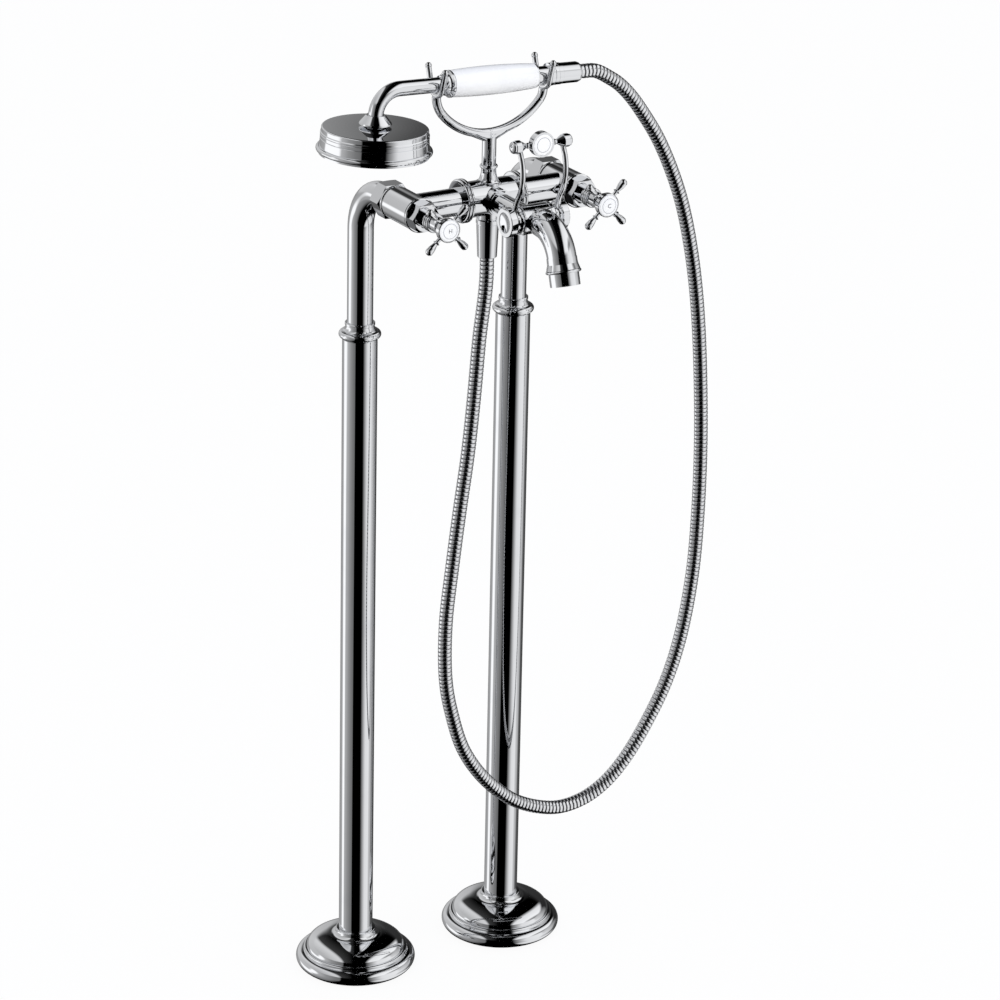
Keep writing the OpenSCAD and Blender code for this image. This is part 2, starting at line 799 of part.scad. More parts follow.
// Lever: two turned hubs, two bowed arms, a rod with end knobs and the cup of the disc
arm_foot = [-4, 7.5];
hub_edge = 0.6;
arm_inset = 1.1;
arm_x = hub_inner + hub_waist_w - arm_inset;
lean_y = arm_foot[0] - lever_foot_bend_r * (1 - cos(lever_lean));
lean_z = arm_foot[1] + lever_foot_bend_r * sin(lever_lean);
arm_stop = 2.8;
top_turn = asin((lever_rise - arm_stop - lean_z) / lever_bow_r - sin(lever_lean));
cross_rod_y = lean_y + lever_bow_r * (cos(lever_lean) - cos(top_turn));
cross_rod = 1.8;
cross_ball_r = 2.4;
knob_in = 14.2;
knob_out = 28.4;
knob_ring_w = 4.5;
knob_groove = 0.5;
cup_back = 4.4;
cup_side = 2.3;
cup_front = 3.9;
lever_disc_face = 4.6;
lever_disc_r = 8.7;
cup_floor = 2.4;
module lever_hub(side) {
    flange_in = hub_inner + hub_waist_w;
    hub_side(side) spin(concat(
        [[drive_r + slip, hub_inner]],
        arc([lever_hub_r - hub_edge, hub_inner + hub_waist_w / 2],
            [lever_hub_r - hub_edge - lever_waist_r, hub_waist_w / 2], -90, -270),
        [[lever_hub_r, flange_in + hub_edge], [lever_hub_r, hub_outer - hub_edge],
            [lever_hub_r - hub_edge, hub_outer], [cap_r + slip, hub_outer],
            [cap_r + slip, hub_outer - cap_t], [drive_r + slip, hub_outer - cap_t]]));
}
module knob(side) {
    mid = (knob_in + knob_out) / 2;
    end_z = knob_out - knob_r / 2;
    ring = [mid - knob_ring_w / 4, mid + knob_ring_w * 3 / 4];
    rod_in = (cup_r + lever_disc_r + slip) / 2;
    ball_turn = acos(cross_rod / cross_ball_r);
    ball_mid = knob_in - cross_ball_r * sin(ball_turn);
    translate([0, cross_rod_y, lever_rise]) rotate([0, side * 90, 0])
        spin(concat([[0, rod_in], [cross_rod, rod_in]],
            round_arc([0, ball_mid], cross_ball_r, -ball_turn, ball_turn, 1),
            [[knob_r - knob_groove, ring[0] - knob_groove], [knob_r - 2 * knob_groove, ring[0]],
                [knob_r, ring[0]], [knob_r, ring[1]], [knob_r - 2 * knob_groove, ring[1]],
                [knob_r - knob_groove, ring[1] + knob_groove]],
            arc([0, end_z], [knob_r - knob_groove, knob_out - end_z], 0, 90, 1)));
}
module lever_cup() {
    translate([0, cross_rod_y, lever_rise]) rotate([90, 0, 0]) difference() {
        spin([[0, -cup_back], [cup_r / 2, -cup_back], [cup_r, -cup_side], [cup_r, cup_front],
            [0, cup_front]]);
        blind_cut(lever_disc_r + slip, cup_front - cup_floor, cup_front);
    }
}
module diverter_lever() {
    color(chrome) {
        for (side = [hot, cold]) lever_hub(side);
        hub_frame() {
            for (side = [hot, cold]) {
                translate([side * arm_x, 0, 0]) {
                    translate([0, arm_foot[0] - lever_foot_bend_r, arm_foot[1]])
                        yz_arc(lever_foot_bend_r, lever_arm_r, 0, lever_lean);
                    translate([0, lean_y + lever_bow_r * cos(lever_lean),
                        lean_z + lever_bow_r * sin(lever_lean)])
                        yz_arc(lever_bow_r, lever_arm_r, 180 - top_turn, 180 + lever_lean);
                    translate([0, lean_y, lean_z]) sphere(r = lever_arm_r + proud);
                }
                knob(side);
            }
            lever_cup();
        }
    }
}

module lever_disc() {
    color(porcelain) hub_frame() translate([0, cross_rod_y, lever_rise]) rotate([90, 0, 0])
        spin(concat([[0, cup_front - cup_floor], [lever_disc_r, cup_front - cup_floor],
            [lever_disc_r, cup_front]],
            arc([0, cup_front], [lever_disc_r - seam, lever_disc_face - cup_front], 0, 90)));
}

// Slotted caps in the ends of the lever hubs
module lever_cap(side) {
    slot_w = cap_r / 6;
    color(chrome) hub_side(side) difference() {
        spin([[0, hub_outer - cap_t], [cap_r, hub_outer - cap_t], [cap_r, hub_outer - cap_t / 2],
            [cap_r * 2 / 3, hub_outer - cap_t / 2], [cap_r / 2, hub_outer], [0, hub_outer]]);
        translate([-cap_r, -slot_w / 2, hub_outer - cap_t / 3])
            cube([2 * cap_r, slot_w, cap_t]);
    }
}
module hot_lever_cap() { lever_cap(hot); }
module cold_lever_cap() { lever_cap(cold); }

// Spout, curved down from the diverter housing
spout_lead = 3.5;
spout_root_l = 5.5;
spout_flare_l = 4.8;
spout_flare_step = 0.5;
spout_end_step = 0.6;
spout_end_r = sleeve_bead_r - spout_end_step;
module spout_frame() {
    hub_forward() translate([0, 0, spout_seat + spout_lead]) children();
}
module spout_tail_frame() {
    spout_frame() after_bend(spout_bend_r, spout_turn) children();
}
module spout() {
    color(chrome) difference() {
        union() {
            hub_forward() {
                rod(spout_root_r, spout_seat - spout_root_l, spout_seat + spout_lead);
                cone(spout_r - seam, spout_r, spout_seat, spout_seat + spout_lead);
            }
            spout_frame() bend(spout_bend_r, spout_r, spout_turn);
            spout_tail_frame() {
                cone(spout_r + seam, spout_r + 2 * seam, -over, spout_tail - seam);
                cone(spout_r + spout_flare_step, spout_end_r, spout_tail - spout_flare_l, spout_tail);
            }
        }
        hub_forward() translate([0, 0, spout_seat - spout_root_l - over])
            cylinder(r = feed_bore_r, h = spout_root_l + spout_lead + 2 * over);
        spout_frame() bend(spout_bend_r, spout_bore_r, spout_turn);
        spout_tail_frame() blind_cut(spout_bore_r + slip, -over, spout_tail);
    }
}

// Outlet sleeve with its bead, and the aerator insert inside its mouth
sleeve_spigot = 5;
sleeve_bead_w = 2.6;
aerator_t = 3.4;
aerator_inset = 0.6;
aerator_r = 10.4;
aerator_ledge = 1.2;
sleeve_end = spout_tail + sleeve_l;
aerator_top = sleeve_end - aerator_inset - aerator_t;
module outlet_sleeve() {
    bead_r = sleeve_bead_w / 2;
    color(chrome) spout_tail_frame() difference() {
        union() {
            rod(spout_bore_r, spout_tail - sleeve_spigot, spout_tail + bead_r);
            rod(sleeve_r, spout_tail, sleeve_end);
            spin(concat([[0, spout_tail]],
                round_arc([sleeve_bead_r - bead_r, spout_tail + bead_r], bead_r, -90, 90),
                [[0, spout_tail + 2 * bead_r]]));
        }
        through_cut(spout_bore_r - 2 * aerator_ledge, spout_tail - sleeve_spigot, sleeve_end);
        blind_cut(aerator_r - aerator_ledge, spout_tail + bead_r, sleeve_end);
        blind_cut(aerator_r + slip, aerator_top, sleeve_end);
    }
}

jet_r = 0.9;
jet_rings = 2;
jet_pitch = 3.7;
module aerator_insert() {
    color(steel) spout_tail_frame() difference() {
        rod(aerator_r, aerator_top, aerator_top + aerator_t);
        through_cut(jet_r, aerator_top, aerator_top + aerator_t);
        for (ring = [1 : jet_rings], i = [0 : 6 * ring - 1]) rotate([0, 0, 60 / ring * i])
            translate([ring * jet_pitch, 0, 0])
                through_cut(jet_r, aerator_top, aerator_top + aerator_t);
    }
}

// Hose outlet under the bar: threaded nipple, conical nut and washer
outlet_collar_t = 1;
outlet_bore_r = 4.5;
outlet_upper = 7.5;
outlet_lower = 12;
hose_washer_t = 2;
nut_bore_slip = 0.1;
hose_passage_r = 4.2;
outlet_seat = outlet_boss_end + outlet_collar_t;
outlet_tip = outlet_seat + outlet_lower;
lower_nut_end = outlet_seat + lower_nut_l;
module hose_outlet() {
    color(brass) stem_frame() difference() {
        union() {
            rod(outlet_thread_r, -outlet_tip, outlet_upper - outlet_boss_end);
            rod(outlet_boss_r + seam, -outlet_seat, -outlet_boss_end);
        }
        through_cut(outlet_bore_r, -outlet_tip, outlet_upper - outlet_boss_end);
    }
}

nut_ring_h = 4;
nut_edge = 0.8;
lower_nut_body_r = lower_nut_r - nut_edge / 2;
lower_tip_wall = 2.2;
lower_nut_tip_r = hose_r + lower_tip_wall;
module lower_hose_nut() {
    color(chrome) stem_frame() rotate([180, 0, 0]) difference() {
        spin([[0, outlet_seat], [lower_nut_r - nut_edge, outlet_seat],
            [lower_nut_r, outlet_seat + nut_edge], [lower_nut_r, outlet_seat + nut_ring_h],
            [lower_nut_body_r - nut_edge / 2, outlet_seat + nut_ring_h + nut_edge / 2],
            [lower_nut_body_r, outlet_seat + nut_ring_h + nut_edge],
            [lower_nut_tip_r, lower_nut_end - nut_edge / 2],
            [lower_nut_tip_r - nut_edge / 2, lower_nut_end], [0, lower_nut_end]]);
        through_cut(hose_passage_r, outlet_seat, lower_nut_end);
        translate([0, 0, outlet_seat - over])
            cylinder(r = outlet_thread_r + nut_bore_slip, h = outlet_lower + hose_washer_t + over);
    }
}

module lower_hose_washer() {
    color(rubber) stem_frame() rotate([180, 0, 0])
        rod(outlet_thread_r, outlet_tip, outlet_tip + hose_washer_t, hose_passage_r);
}

// Cradle foot, saddled on the bar, with its stud in the mixer body
foot_neck_r = 6.2;
foot_flare_h = 14;
foot_ring_r = 7.5;
foot_ring_h = 3;
foot_sink = 6;
stem_foot = 28;
module cradle_foot() {
    ring_z = stem_foot - foot_ring_h;
    flare_z = ring_z - foot_flare_h;
    bead_r = foot_ring_h / 2;
    color(chrome) stem_frame() {
        difference() {
            spin(concat([[0, mid_bar_r - foot_sink], [foot_r, mid_bar_r - foot_sink]],
                arc([foot_r, ring_z - seam], [foot_r - foot_neck_r, foot_flare_h - stem_foot / 10],
                    -90, -180),
                [[foot_neck_r, ring_z]],
                round_arc([foot_ring_r - bead_r, ring_z + bead_r], bead_r, -90, 90),
                [[0, stem_foot]]));
            rotate([0, 90, 0]) translate([0, 0, -2 * foot_r])
                cylinder(r = mid_bar_r + fit, h = 4 * foot_r);
        }
        rod(stud_r, mid_bar_r - stud_depth, mid_bar_r + foot_sink);
    }
}

stem_gap = 8.8;
stem_top = fork_low - stem_gap;
module cradle_stem() {
    color(chrome) stem_frame() rod(stem_r, stem_foot, stem_top);
}

// Cradle fork: two tangent bends on each side, a web over the stem, and a saddle with
// two leaning prongs under each end of the hand shower
prong_lean = 18;
prong_ball_r = 2.7;
side_turn = 50;
strut_turn = 28;
strut_foot_r = 4.2;
strut_tip_r = 3;
collar_waist_r = 7.2;
function axis_z(x) = handset_rise - x * tan(handset_tilt);
function saddle_r(side) = (side == hot ? tube_r : collar_waist_r) + clear + prong_r;
function saddle_z(side) = axis_z(side * fork_half);
function fork_h(side) = saddle_z(side) - saddle_r(side) - prong_r / 2 - fork_low;
turn_share = sin(side_turn) * cos(side_turn) - (1 - sin(side_turn)) * (1 - cos(side_turn));
function base_bend(side) =
    (fork_half * cos(side_turn) - fork_h(side) * (1 - sin(side_turn))) / turn_share;
function side_bend(side) =
    (fork_h(side) * sin(side_turn) - fork_half * (1 - cos(side_turn))) / turn_share;
module fork_side(side) {
    base_r = base_bend(side);
    side_r = side_bend(side);
    saddle = saddle_r(side);
    strut_x = base_r * sin(strut_turn);
    strut_h = fork_low + base_r * (1 - cos(strut_turn)) - stem_top - strut_foot_r;
    prong_l = (prong_rise + saddle * sin(prong_lean)) / cos(prong_lean);
    mirror([side == hot ? 1 : 0, 0, 0]) {
        translate([0, 0, fork_low + base_r]) {
            xz_arc(base_r, fork_rod_r, -90, side_turn - 90);
            rotate([0, 90 - side_turn, 0]) translate([base_r, 0, 0])
                sphere(r = fork_rod_r + proud);
        }
        translate([fork_half - side_r, 0, fork_low + fork_h(side)])
            xz_arc(side_r, fork_rod_r, side_turn - 90, 0);
        translate([0, 0, stem_top + strut_foot_r]) rotate([0, atan2(strut_x, strut_h), 0])
            cone(strut_foot_r, strut_tip_r, 0, norm([strut_x, strut_h]));
    }
    translate([side * fork_half, 0, saddle_z(side)]) {
        yz_arc(saddle, prong_r, 180 + prong_lean, 360 - prong_lean);
        for (way = [-1, 1]) translate([0, way * saddle * cos(prong_lean), -saddle * sin(prong_lean)])
            rotate([-way * prong_lean, 0, 0]) {
                sphere(r = prong_r + proud);
                rod(prong_r, 0, prong_l);
                translate([0, 0, prong_l]) sphere(r = prong_ball_r);
            }
    }
}
module cradle_fork() {
    color(chrome) stem_frame() {
        for (side = [hot, cold]) fork_side(side);
        spin(concat([[0, stem_top], [stem_r, stem_top]],
            arc([stem_r, fork_low - fork_rod_r / 2],
                [stem_r - strut_foot_r + over, stem_gap - 2 * fork_rod_r], -90, -180),
            [[0, fork_low - fork_rod_r / 2]]));
        translate([0, 0, fork_low]) sphere(r = fork_rod_r + proud);
    }
}

// Spray head, from its neck over the top plate and down the side to the rim
neck_r = 8.5;
neck_h = 6;
neck_bore_r = 5;
top_edge = 1.2;
head_crown = 0.9;
band_h = 4;
side_step = 0.7;
side_groove = 0.4;
rim_bead_r = 2.3;
rim_bead_gap = 1.5;
face_r = 42.8;
face_t = 2.6;
face_inset = 0.4;
seal_t = 0.6;
seal_w = 1.2;
head_top = -head_drop;
head_bottom = head_top - head_h;
head_neck = head_top + neck_h;
rim_mid = head_bottom + rim_bead_gap + rim_bead_r;
rim_bead_mid_r = head_rim_r - rim_bead_r;
face_bottom = head_bottom + face_inset;
face_top = face_bottom + face_t;
side_r = head_r + side_step;
head_face_r = head_r - seam;
groove_z = [head_top - 1.4 * band_h, head_top - 2.2 * band_h];
crown_in = neck_r;
crown_w = head_r - top_edge - crown_in;
module spray_head() {
    color(chrome) head_frame() spin(concat(
        [[neck_bore_r, head_neck], [neck_r, head_neck]],
        [for (i = [0 : arc_steps - 1]) [crown_in + crown_w * i / arc_steps,
            head_top + head_crown * (1 - pow(i / arc_steps, 2))]],
        round_arc([head_r - top_edge, head_top - top_edge], top_edge, 90, 0),
        [[head_r, head_top - band_h], [side_r, head_top - band_h - side_step]],
        [for (z = groove_z) each [[side_r, z], [side_r - side_groove, z - side_groove],
            [side_r, z - 2 * side_groove]]],
        [[rim_bead_mid_r - side_groove, rim_mid + rim_bead_r]],
        round_arc([rim_bead_mid_r, rim_mid], rim_bead_r, 80, -90),
        [[rim_bead_mid_r, head_bottom], [head_face_r, head_bottom],
            [head_face_r, face_top + seal_t], [head_r - head_wall, face_top + seal_t],
            [head_r - head_wall, head_top - head_wall], [neck_bore_r, head_top - head_wall]]));
}

hole_rings = 3;
hole_pitch = 11;
module spray_face() {
    color(chrome) head_frame() difference() {
        rod(head_face_r - slip, face_bottom, face_top);
        through_cut(nozzle_r, face_bottom, face_top);
        for (ring = [1 : hole_rings], i = [0 : 6 * ring - 1]) rotate([0, 0, 60 / ring * i])
            translate([ring * hole_pitch, 0, 0]) through_cut(nozzle_r, face_bottom, face_top);
    }
}

module spray_face_seal() {
    color(rubber) head_frame()
        rod(head_face_r - slip, face_top, face_top + seal_t, head_face_r - slip - seal_w);
}

// Cone nut that holds the spray head on the arm tube
arm_flange_t = 2;
nut_cone_r = 13.3;
nut_cone_h = 7.4;
nut_rim_h = 1.2;
arm_end = head_neck + arm_flange_t;
head_nut_top = arm_end + arm_flange_t + seam;
module head_nut() {
    nut_low = head_top + head_crown + seam;
    color(chrome) head_frame() spin([
        [tube_r + slip, head_nut_top], [tube_r + arm_flange_t - seam, head_nut_top],
        [nut_cone_r - seam, head_nut_top - nut_cone_h + nut_rim_h],
        [nut_cone_r, head_nut_top - nut_cone_h], [nut_cone_r - nut_rim_h, nut_low + nut_rim_h],
        [neck_r + nut_rim_h, nut_low], [neck_r + slip, nut_low], [neck_r + slip, arm_end],
        [tube_r + slip, arm_end]]);
}

// Arm tube, bent from the spray head and running through the grip
arm_reach = 52;
arm_start = -tube_bend_r;
module handset_arm() {
    tube_bore_r = tube_r - tube_wall;
    level_l = arm_reach + head_reach - tube_bend_r;
    color(chrome) difference() {
        head_frame() {
            rod(neck_r - seam / 2, head_neck, arm_end);
            rod(tube_r, head_neck, arm_start);
            translate([0, 0, arm_start]) rotate([0, 0, 90]) {
                bend(tube_bend_r, tube_r, 90);
                after_bend(tube_bend_r, 90) rod(tube_r, 0, level_l);
            }
        }
        head_frame() {
            translate([0, 0, head_neck - over])
                cylinder(r = tube_bore_r, h = arm_start - head_neck + over);
            translate([0, 0, arm_start]) rotate([0, 0, 90]) {
                bend(tube_bend_r, tube_bore_r, 90);
                after_bend(tube_bend_r, 90) blind_cut(tube_bore_r, 0, level_l);
            }
        }
    }
}

// Stepped collar at the head end of the grip
front_collar_l = 9.8;
front_ring_r = [7.6, 9.2, 11.3];
module front_collar() {
    bore = tube_r + slip;
    back = -grip_back;
    step = front_collar_l / 6;
    color(chrome) handset_axis() spin([
        [bore, back - front_collar_l], [front_ring_r[0] - seam, back - front_collar_l],
        [front_ring_r[0], back - front_collar_l + seam], [front_ring_r[0], back - 5 * step],
        [front_ring_r[0] - 2 * seam, back - 5 * step + seam],
        [front_ring_r[1], back - 3.6 * step], [front_ring_r[1], back - 2.6 * step],
        [front_ring_r[1] - 3 * seam, back - 2.4 * step], [front_ring_r[1] - 2 * seam, back - 2 * step],
        [front_ring_r[2], back - 1.2 * step], [front_ring_r[2], back - 0.4 * step],
        [front_ring_r[2] - 2 * seam, back], [bore, back]]);
}

// Porcelain grip, slightly barrelled
module porcelain_grip() {
    function barrel(u) = grip_head_r * (1 - u) * (1 - 2 * u) + 4 * grip_mid_r * u * (1 - u)
        + grip_hose_r * u * (2 * u - 1);
    color(porcelain) handset_axis() spin(concat(
        [[grip_bore_r, -grip_back]],
        [for (i = [0 : arc_steps]) [barrel(i / arc_steps), grip_l * i / arc_steps - grip_back]],
        [[grip_bore_r, grip_l - grip_back]]));
}

// Collar at the hose end: flange on the grip, waist over the fork, ring and thread
rear_flange_t = 1.2;
rear_waist_l = 12.4;
rear_ring_w = 7.2;
rear_ring_r = 9.4;
rear_thread_r = 6.5;
rear_thread_l = 8.5;
valve_r = 4.9;
valve_l = 7.5;
rear_back = grip_l - grip_back;
rear_waist = rear_back + rear_flange_t;
rear_ring = rear_waist + rear_waist_l;
rear_seat = rear_ring + rear_ring_w;
rear_tip = rear_seat + rear_thread_l;
valve_seat = rear_tip - valve_l - over;
module rear_collar() {
    groove = rear_ring + rear_ring_w / 2;
    color(chrome) handset_axis() difference() {
        union() {
            rod(grip_hose_r - seam, rear_back, rear_waist);
            rod(collar_waist_r, rear_back, rear_ring + seam);
            spin([[0, rear_ring], [rear_ring_r - seam, rear_ring],
                [rear_ring_r, rear_ring + seam], [rear_ring_r, groove - seam],
                [rear_ring_r - 3 * seam, groove], [rear_ring_r - 3 * seam, groove + seam],
                [rear_ring_r - seam, groove + 2 * seam], [rear_ring_r - seam, rear_seat],
                [0, rear_seat]]);
            rod(rear_thread_r, rear_ring, rear_tip);
        }
        through_cut(hose_passage_r, rear_back, rear_tip);
        translate([0, 0, rear_back - over]) cylinder(r = tube_r + slip,
            h = arm_reach - rear_back + over);
        blind_cut(valve_r + slip, valve_seat, rear_tip);
    }
}

module check_valve() {
    color(rubber) handset_axis() rod(valve_r, valve_seat, valve_seat + valve_l, port_r / 2);
}

// Upper hose nut with a bevelled end, and its washer
upper_nut_end = rear_seat + upper_nut_l;
upper_tip_wall = 1.8;
upper_tip_r = hose_r + upper_tip_wall;
upper_bevel = 2;
module upper_hose_nut() {
    color(chrome) handset_axis() difference() {
        spin([[0, rear_seat], [upper_nut_r - seam, rear_seat], [upper_nut_r, rear_seat + seam],
            [upper_nut_r, rear_seat + nut_ring_h],
            [upper_nut_r - seam, rear_seat + nut_ring_h + seam],
            [upper_tip_r + nut_edge, upper_nut_end - upper_bevel], [upper_tip_r, upper_nut_end],
            [0, upper_nut_end]]);
        through_cut(hose_passage_r, rear_seat, upper_nut_end);
        translate([0, 0, rear_seat - over]) cylinder(r = rear_thread_r + nut_bore_slip,
            h = rear_thread_l + hose_washer_t + over);
    }
}

module upper_hose_washer() {
    color(rubber) handset_axis()
        rod(rear_thread_r, rear_tip, rear_tip + hose_washer_t, hose_passage_r);
}

// Hose: hand chosen points from the lower nut to the upper one, from the cross bar axis
hose_route = [[-6, 0, -123], [-10, 0, -173], [-15, 0, -223], [-22, 0, -273],
    [-29, -1, -323], [-35, -2, -373], [-35, -3, -423], [-28, -4, -461], [-16, -5, -496],
    [6, -6, -528], [36, -7, -554], [71, -8, -568], [99, -8, -568], [124, -8, -558],
    [147, -7, -539], [169, -6, -510], [190, -5, -473], [205, -4, -430], [215, -3, -376],
    [219, -2, -322], [220, -1, -262], [218, 0, -202], [213, 0, -142], [206, 0, -93],
    [196, 0, -48], [184, 0, -12], [166, 0, 26], [146, 0, 56], [131, 0, 74], [116, 0, 86]];
hose_lead = 2 * hose_r;
hose_sides = 8;
route_steps = 8;
rings_per_rib = 2;
bore_spans = 80;
hose_origin = [0, -bar_reach, bar_height];
hose_from = hose_origin - [0, 0, lower_nut_end];
hose_axis = [cos(handset_tilt), 0, -sin(handset_tilt)];
hose_to = hose_origin + [0, 0, handset_rise] + upper_nut_end * hose_axis;
knots = concat([hose_from - [0, 0, hose_lead]], [for (p = hose_route) hose_origin + p],
    [hose_to + hose_lead * hose_axis]);
last_knot = len(knots) - 1;
function slope(i) =
    i == 0 ? [0, 0, -norm(knots[1] - knots[0])]
    : i == last_knot ? -norm(knots[i] - knots[i - 1]) * hose_axis
    : (knots[i + 1] - knots[i - 1]) / 2;
function hermite(i, t) =
    (2 * t * t * t - 3 * t * t + 1) * knots[i] + (t * t * t - 2 * t * t + t) * slope(i)
    + (3 * t * t - 2 * t * t * t) * knots[i + 1] + (t * t * t - t * t) * slope(i + 1);
hose_line = concat([hose_from],
    [for (i = [0 : last_knot - 1], j = [0 : route_steps - 1]) hermite(i, j / route_steps)],
    [knots[last_knot], hose_to]);
hose_parts = [for (i = [1 : len(hose_line) - 1]) norm(hose_line[i] - hose_line[i - 1])];
hose_run = [for (i = 0, l = 0; i < len(hose_line); l = l + (i < len(hose_parts) ? hose_parts[i] : 0),
    i = i + 1) l];
hose_length = hose_run[len(hose_run) - 1];
hose_x = [for (i = [0 : len(hose_line) - 1]) [hose_run[i], hose_line[i][0]]];
hose_y = [for (i = [0 : len(hose_line) - 1]) [hose_run[i], hose_line[i][1]]];
hose_z = [for (i = [0 : len(hose_line) - 1]) [hose_run[i], hose_line[i][2]]];
function along(s) = [lookup(s, hose_x), lookup(s, hose_y), lookup(s, hose_z)];
function heading(s) = let (d = along(s + hose_r / 2) - along(s - hose_r / 2)) d / norm(d);
function hose_ring(s, r) =
    let (t = heading(s), side = cross(t, cross([0, 1, 0], t)), n = side / norm(side),
        m = cross(t, n), c = along(s))
    [for (j = [0 : hose_sides - 1]) let (a = 360 * j / hose_sides)
        c + r * cos(a) * n + r * sin(a) * m];
rib_rings = rings_per_rib * rib_count;
function strip(first, i, flip) =
    [for (j = [0 : hose_sides - 1])
        let (k = (j + 1) % hose_sides, a = first + i * hose_sides + j,
            b = first + i * hose_sides + k, c = b + hose_sides, d = a + hose_sides)
        each flip ? [[a, b, c], [a, c, d]] : [[a, d, c], [a, c, b]]];
function cap(outer, inner, flip) =
    [for (j = [0 : hose_sides - 1]) let (k = (j + 1) % hose_sides)
        each flip ? [[outer + j, inner + k, outer + k], [outer + j, inner + j, inner + k]]
            : [[outer + j, outer + k, inner + k], [outer + j, inner + k, inner + j]]];
module shower_hose() {
    first_bore = (rib_rings + 1) * hose_sides;
    points = concat(
        [for (i = [0 : rib_rings]) each hose_ring(hose_length * i / rib_rings,
            hose_r - (i % rings_per_rib == 0 ? 0 : rib_depth))],
        [for (i = [0 : bore_spans]) each hose_ring(hose_length * i / bore_spans, hose_bore_r)]);
    faces = concat(
        [for (i = [0 : rib_rings - 1]) each strip(0, i, false)],
        [for (i = [0 : bore_spans - 1]) each strip(first_bore, i, true)],
        cap(0, first_bore, false),
        cap(rib_rings * hose_sides, first_bore + bore_spans * hose_sides, true));
    color(steel) polyhedron(points = points, faces = faces, convexity = 10);
}

// Length of the hose and its least gap to itself, away from neighbouring stretches
gap_spans = 60;
gap_reach = 20 * hose_r;
gap_points = [for (i = [0 : gap_spans]) along(hose_length * i / gap_spans)];
hose_gap = min([for (i = [0 : gap_spans], j = [0 : gap_spans])
    if ((j - i) * hose_length / gap_spans > gap_reach)
        norm(gap_points[i] - gap_points[j]) - 2 * hose_r]);
echo(hose_length = hose_length, hose_gap = hose_gap);

hot_floor_plate();
cold_floor_plate();
hot_floor_flange();
cold_floor_flange();
hot_pillar();
cold_pillar();
hot_supply_tube();
cold_supply_tube();
hot_collar();
cold_collar();
hot_riser();
cold_riser();
hot_union_nut();
cold_union_nut();
hot_union_washer();
cold_union_washer();
mixer_body();
hot_bar_ring();
cold_bar_ring();
hot_bonnet();
cold_bonnet();
hot_cartridge();
cold_cartridge();
hot_spindle();
cold_spindle();
hot_handle();
cold_handle();
hot_index_disc();
cold_index_disc();
hot_handle_screw();
cold_handle_screw();
diverter_housing();
diverter_shaft();
diverter_lever();
lever_disc();
hot_lever_cap();
cold_lever_cap();
spout();
outlet_sleeve();
aerator_insert();
hose_outlet();
lower_hose_nut();
lower_hose_washer();
shower_hose();
upper_hose_nut();
upper_hose_washer();
cradle_foot();
cradle_stem();
cradle_fork();
spray_head();
spray_face();
spray_face_seal();
head_nut();
handset_arm();
front_collar();
porcelain_grip();
rear_collar();
check_valve();
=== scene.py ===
# %% [markdown]
# # A bath mixer on two floor pillars
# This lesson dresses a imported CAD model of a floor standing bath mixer. The turned metal
# parts come from the CAD file with their true sizes. What is left for Blender is the
# finish of each metal and glaze, the wound skin of the hose, and the small marks and
# nozzles that are finer than the solids. All lengths are in metres, and the outlines of
# turned pieces in millimetres, as a lathe worker writes them.

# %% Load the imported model
import json
import math
import bmesh
import bpy
from mathutils import Matrix, Vector

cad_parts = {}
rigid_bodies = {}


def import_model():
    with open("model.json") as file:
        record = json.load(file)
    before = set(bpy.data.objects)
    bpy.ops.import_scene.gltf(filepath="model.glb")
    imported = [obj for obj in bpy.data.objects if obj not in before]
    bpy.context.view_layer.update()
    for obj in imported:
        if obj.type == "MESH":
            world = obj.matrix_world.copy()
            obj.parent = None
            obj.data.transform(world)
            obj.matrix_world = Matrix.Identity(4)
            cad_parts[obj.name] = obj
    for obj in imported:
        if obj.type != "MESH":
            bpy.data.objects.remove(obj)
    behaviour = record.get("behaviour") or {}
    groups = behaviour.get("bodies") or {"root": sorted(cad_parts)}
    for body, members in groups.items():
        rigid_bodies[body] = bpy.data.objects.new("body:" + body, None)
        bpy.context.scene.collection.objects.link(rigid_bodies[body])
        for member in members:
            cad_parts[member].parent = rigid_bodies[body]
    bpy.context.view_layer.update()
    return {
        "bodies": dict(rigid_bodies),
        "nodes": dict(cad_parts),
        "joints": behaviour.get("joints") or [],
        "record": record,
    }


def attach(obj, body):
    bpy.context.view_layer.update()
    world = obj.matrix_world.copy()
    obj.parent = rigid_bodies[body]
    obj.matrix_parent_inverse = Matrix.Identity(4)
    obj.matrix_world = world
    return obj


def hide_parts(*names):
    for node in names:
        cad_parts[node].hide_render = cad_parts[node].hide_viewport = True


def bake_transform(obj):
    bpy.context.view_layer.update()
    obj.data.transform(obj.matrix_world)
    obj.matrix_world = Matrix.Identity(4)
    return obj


for leftover in list(bpy.data.objects):
    bpy.data.objects.remove(leftover)
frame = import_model()
nodes = frame["nodes"]

# %% [markdown]
# ## The camera
# The picture was taken with a long lens from the left front, a little above the bar. A
# long lens keeps the two pillars nearly parallel. The camera could be aimed with a
# constraint, but a matrix made from its three axes says exactly where it stands, and it
# takes the small roll of the picture too.

# %% Aim the camera
CAMERA_AZIMUTH = math.radians(-31.19)
CAMERA_ELEVATION = math.radians(21.35)
CAMERA_ROLL = math.radians(1.205)
CAMERA_TARGET = Vector((0.0296, -0.060, 0.4433))
CAMERA_DISTANCE = 3.413
FOCAL_IN_FRAMES = 3.9965
SENSOR = 36.0
CLIP_END = 100

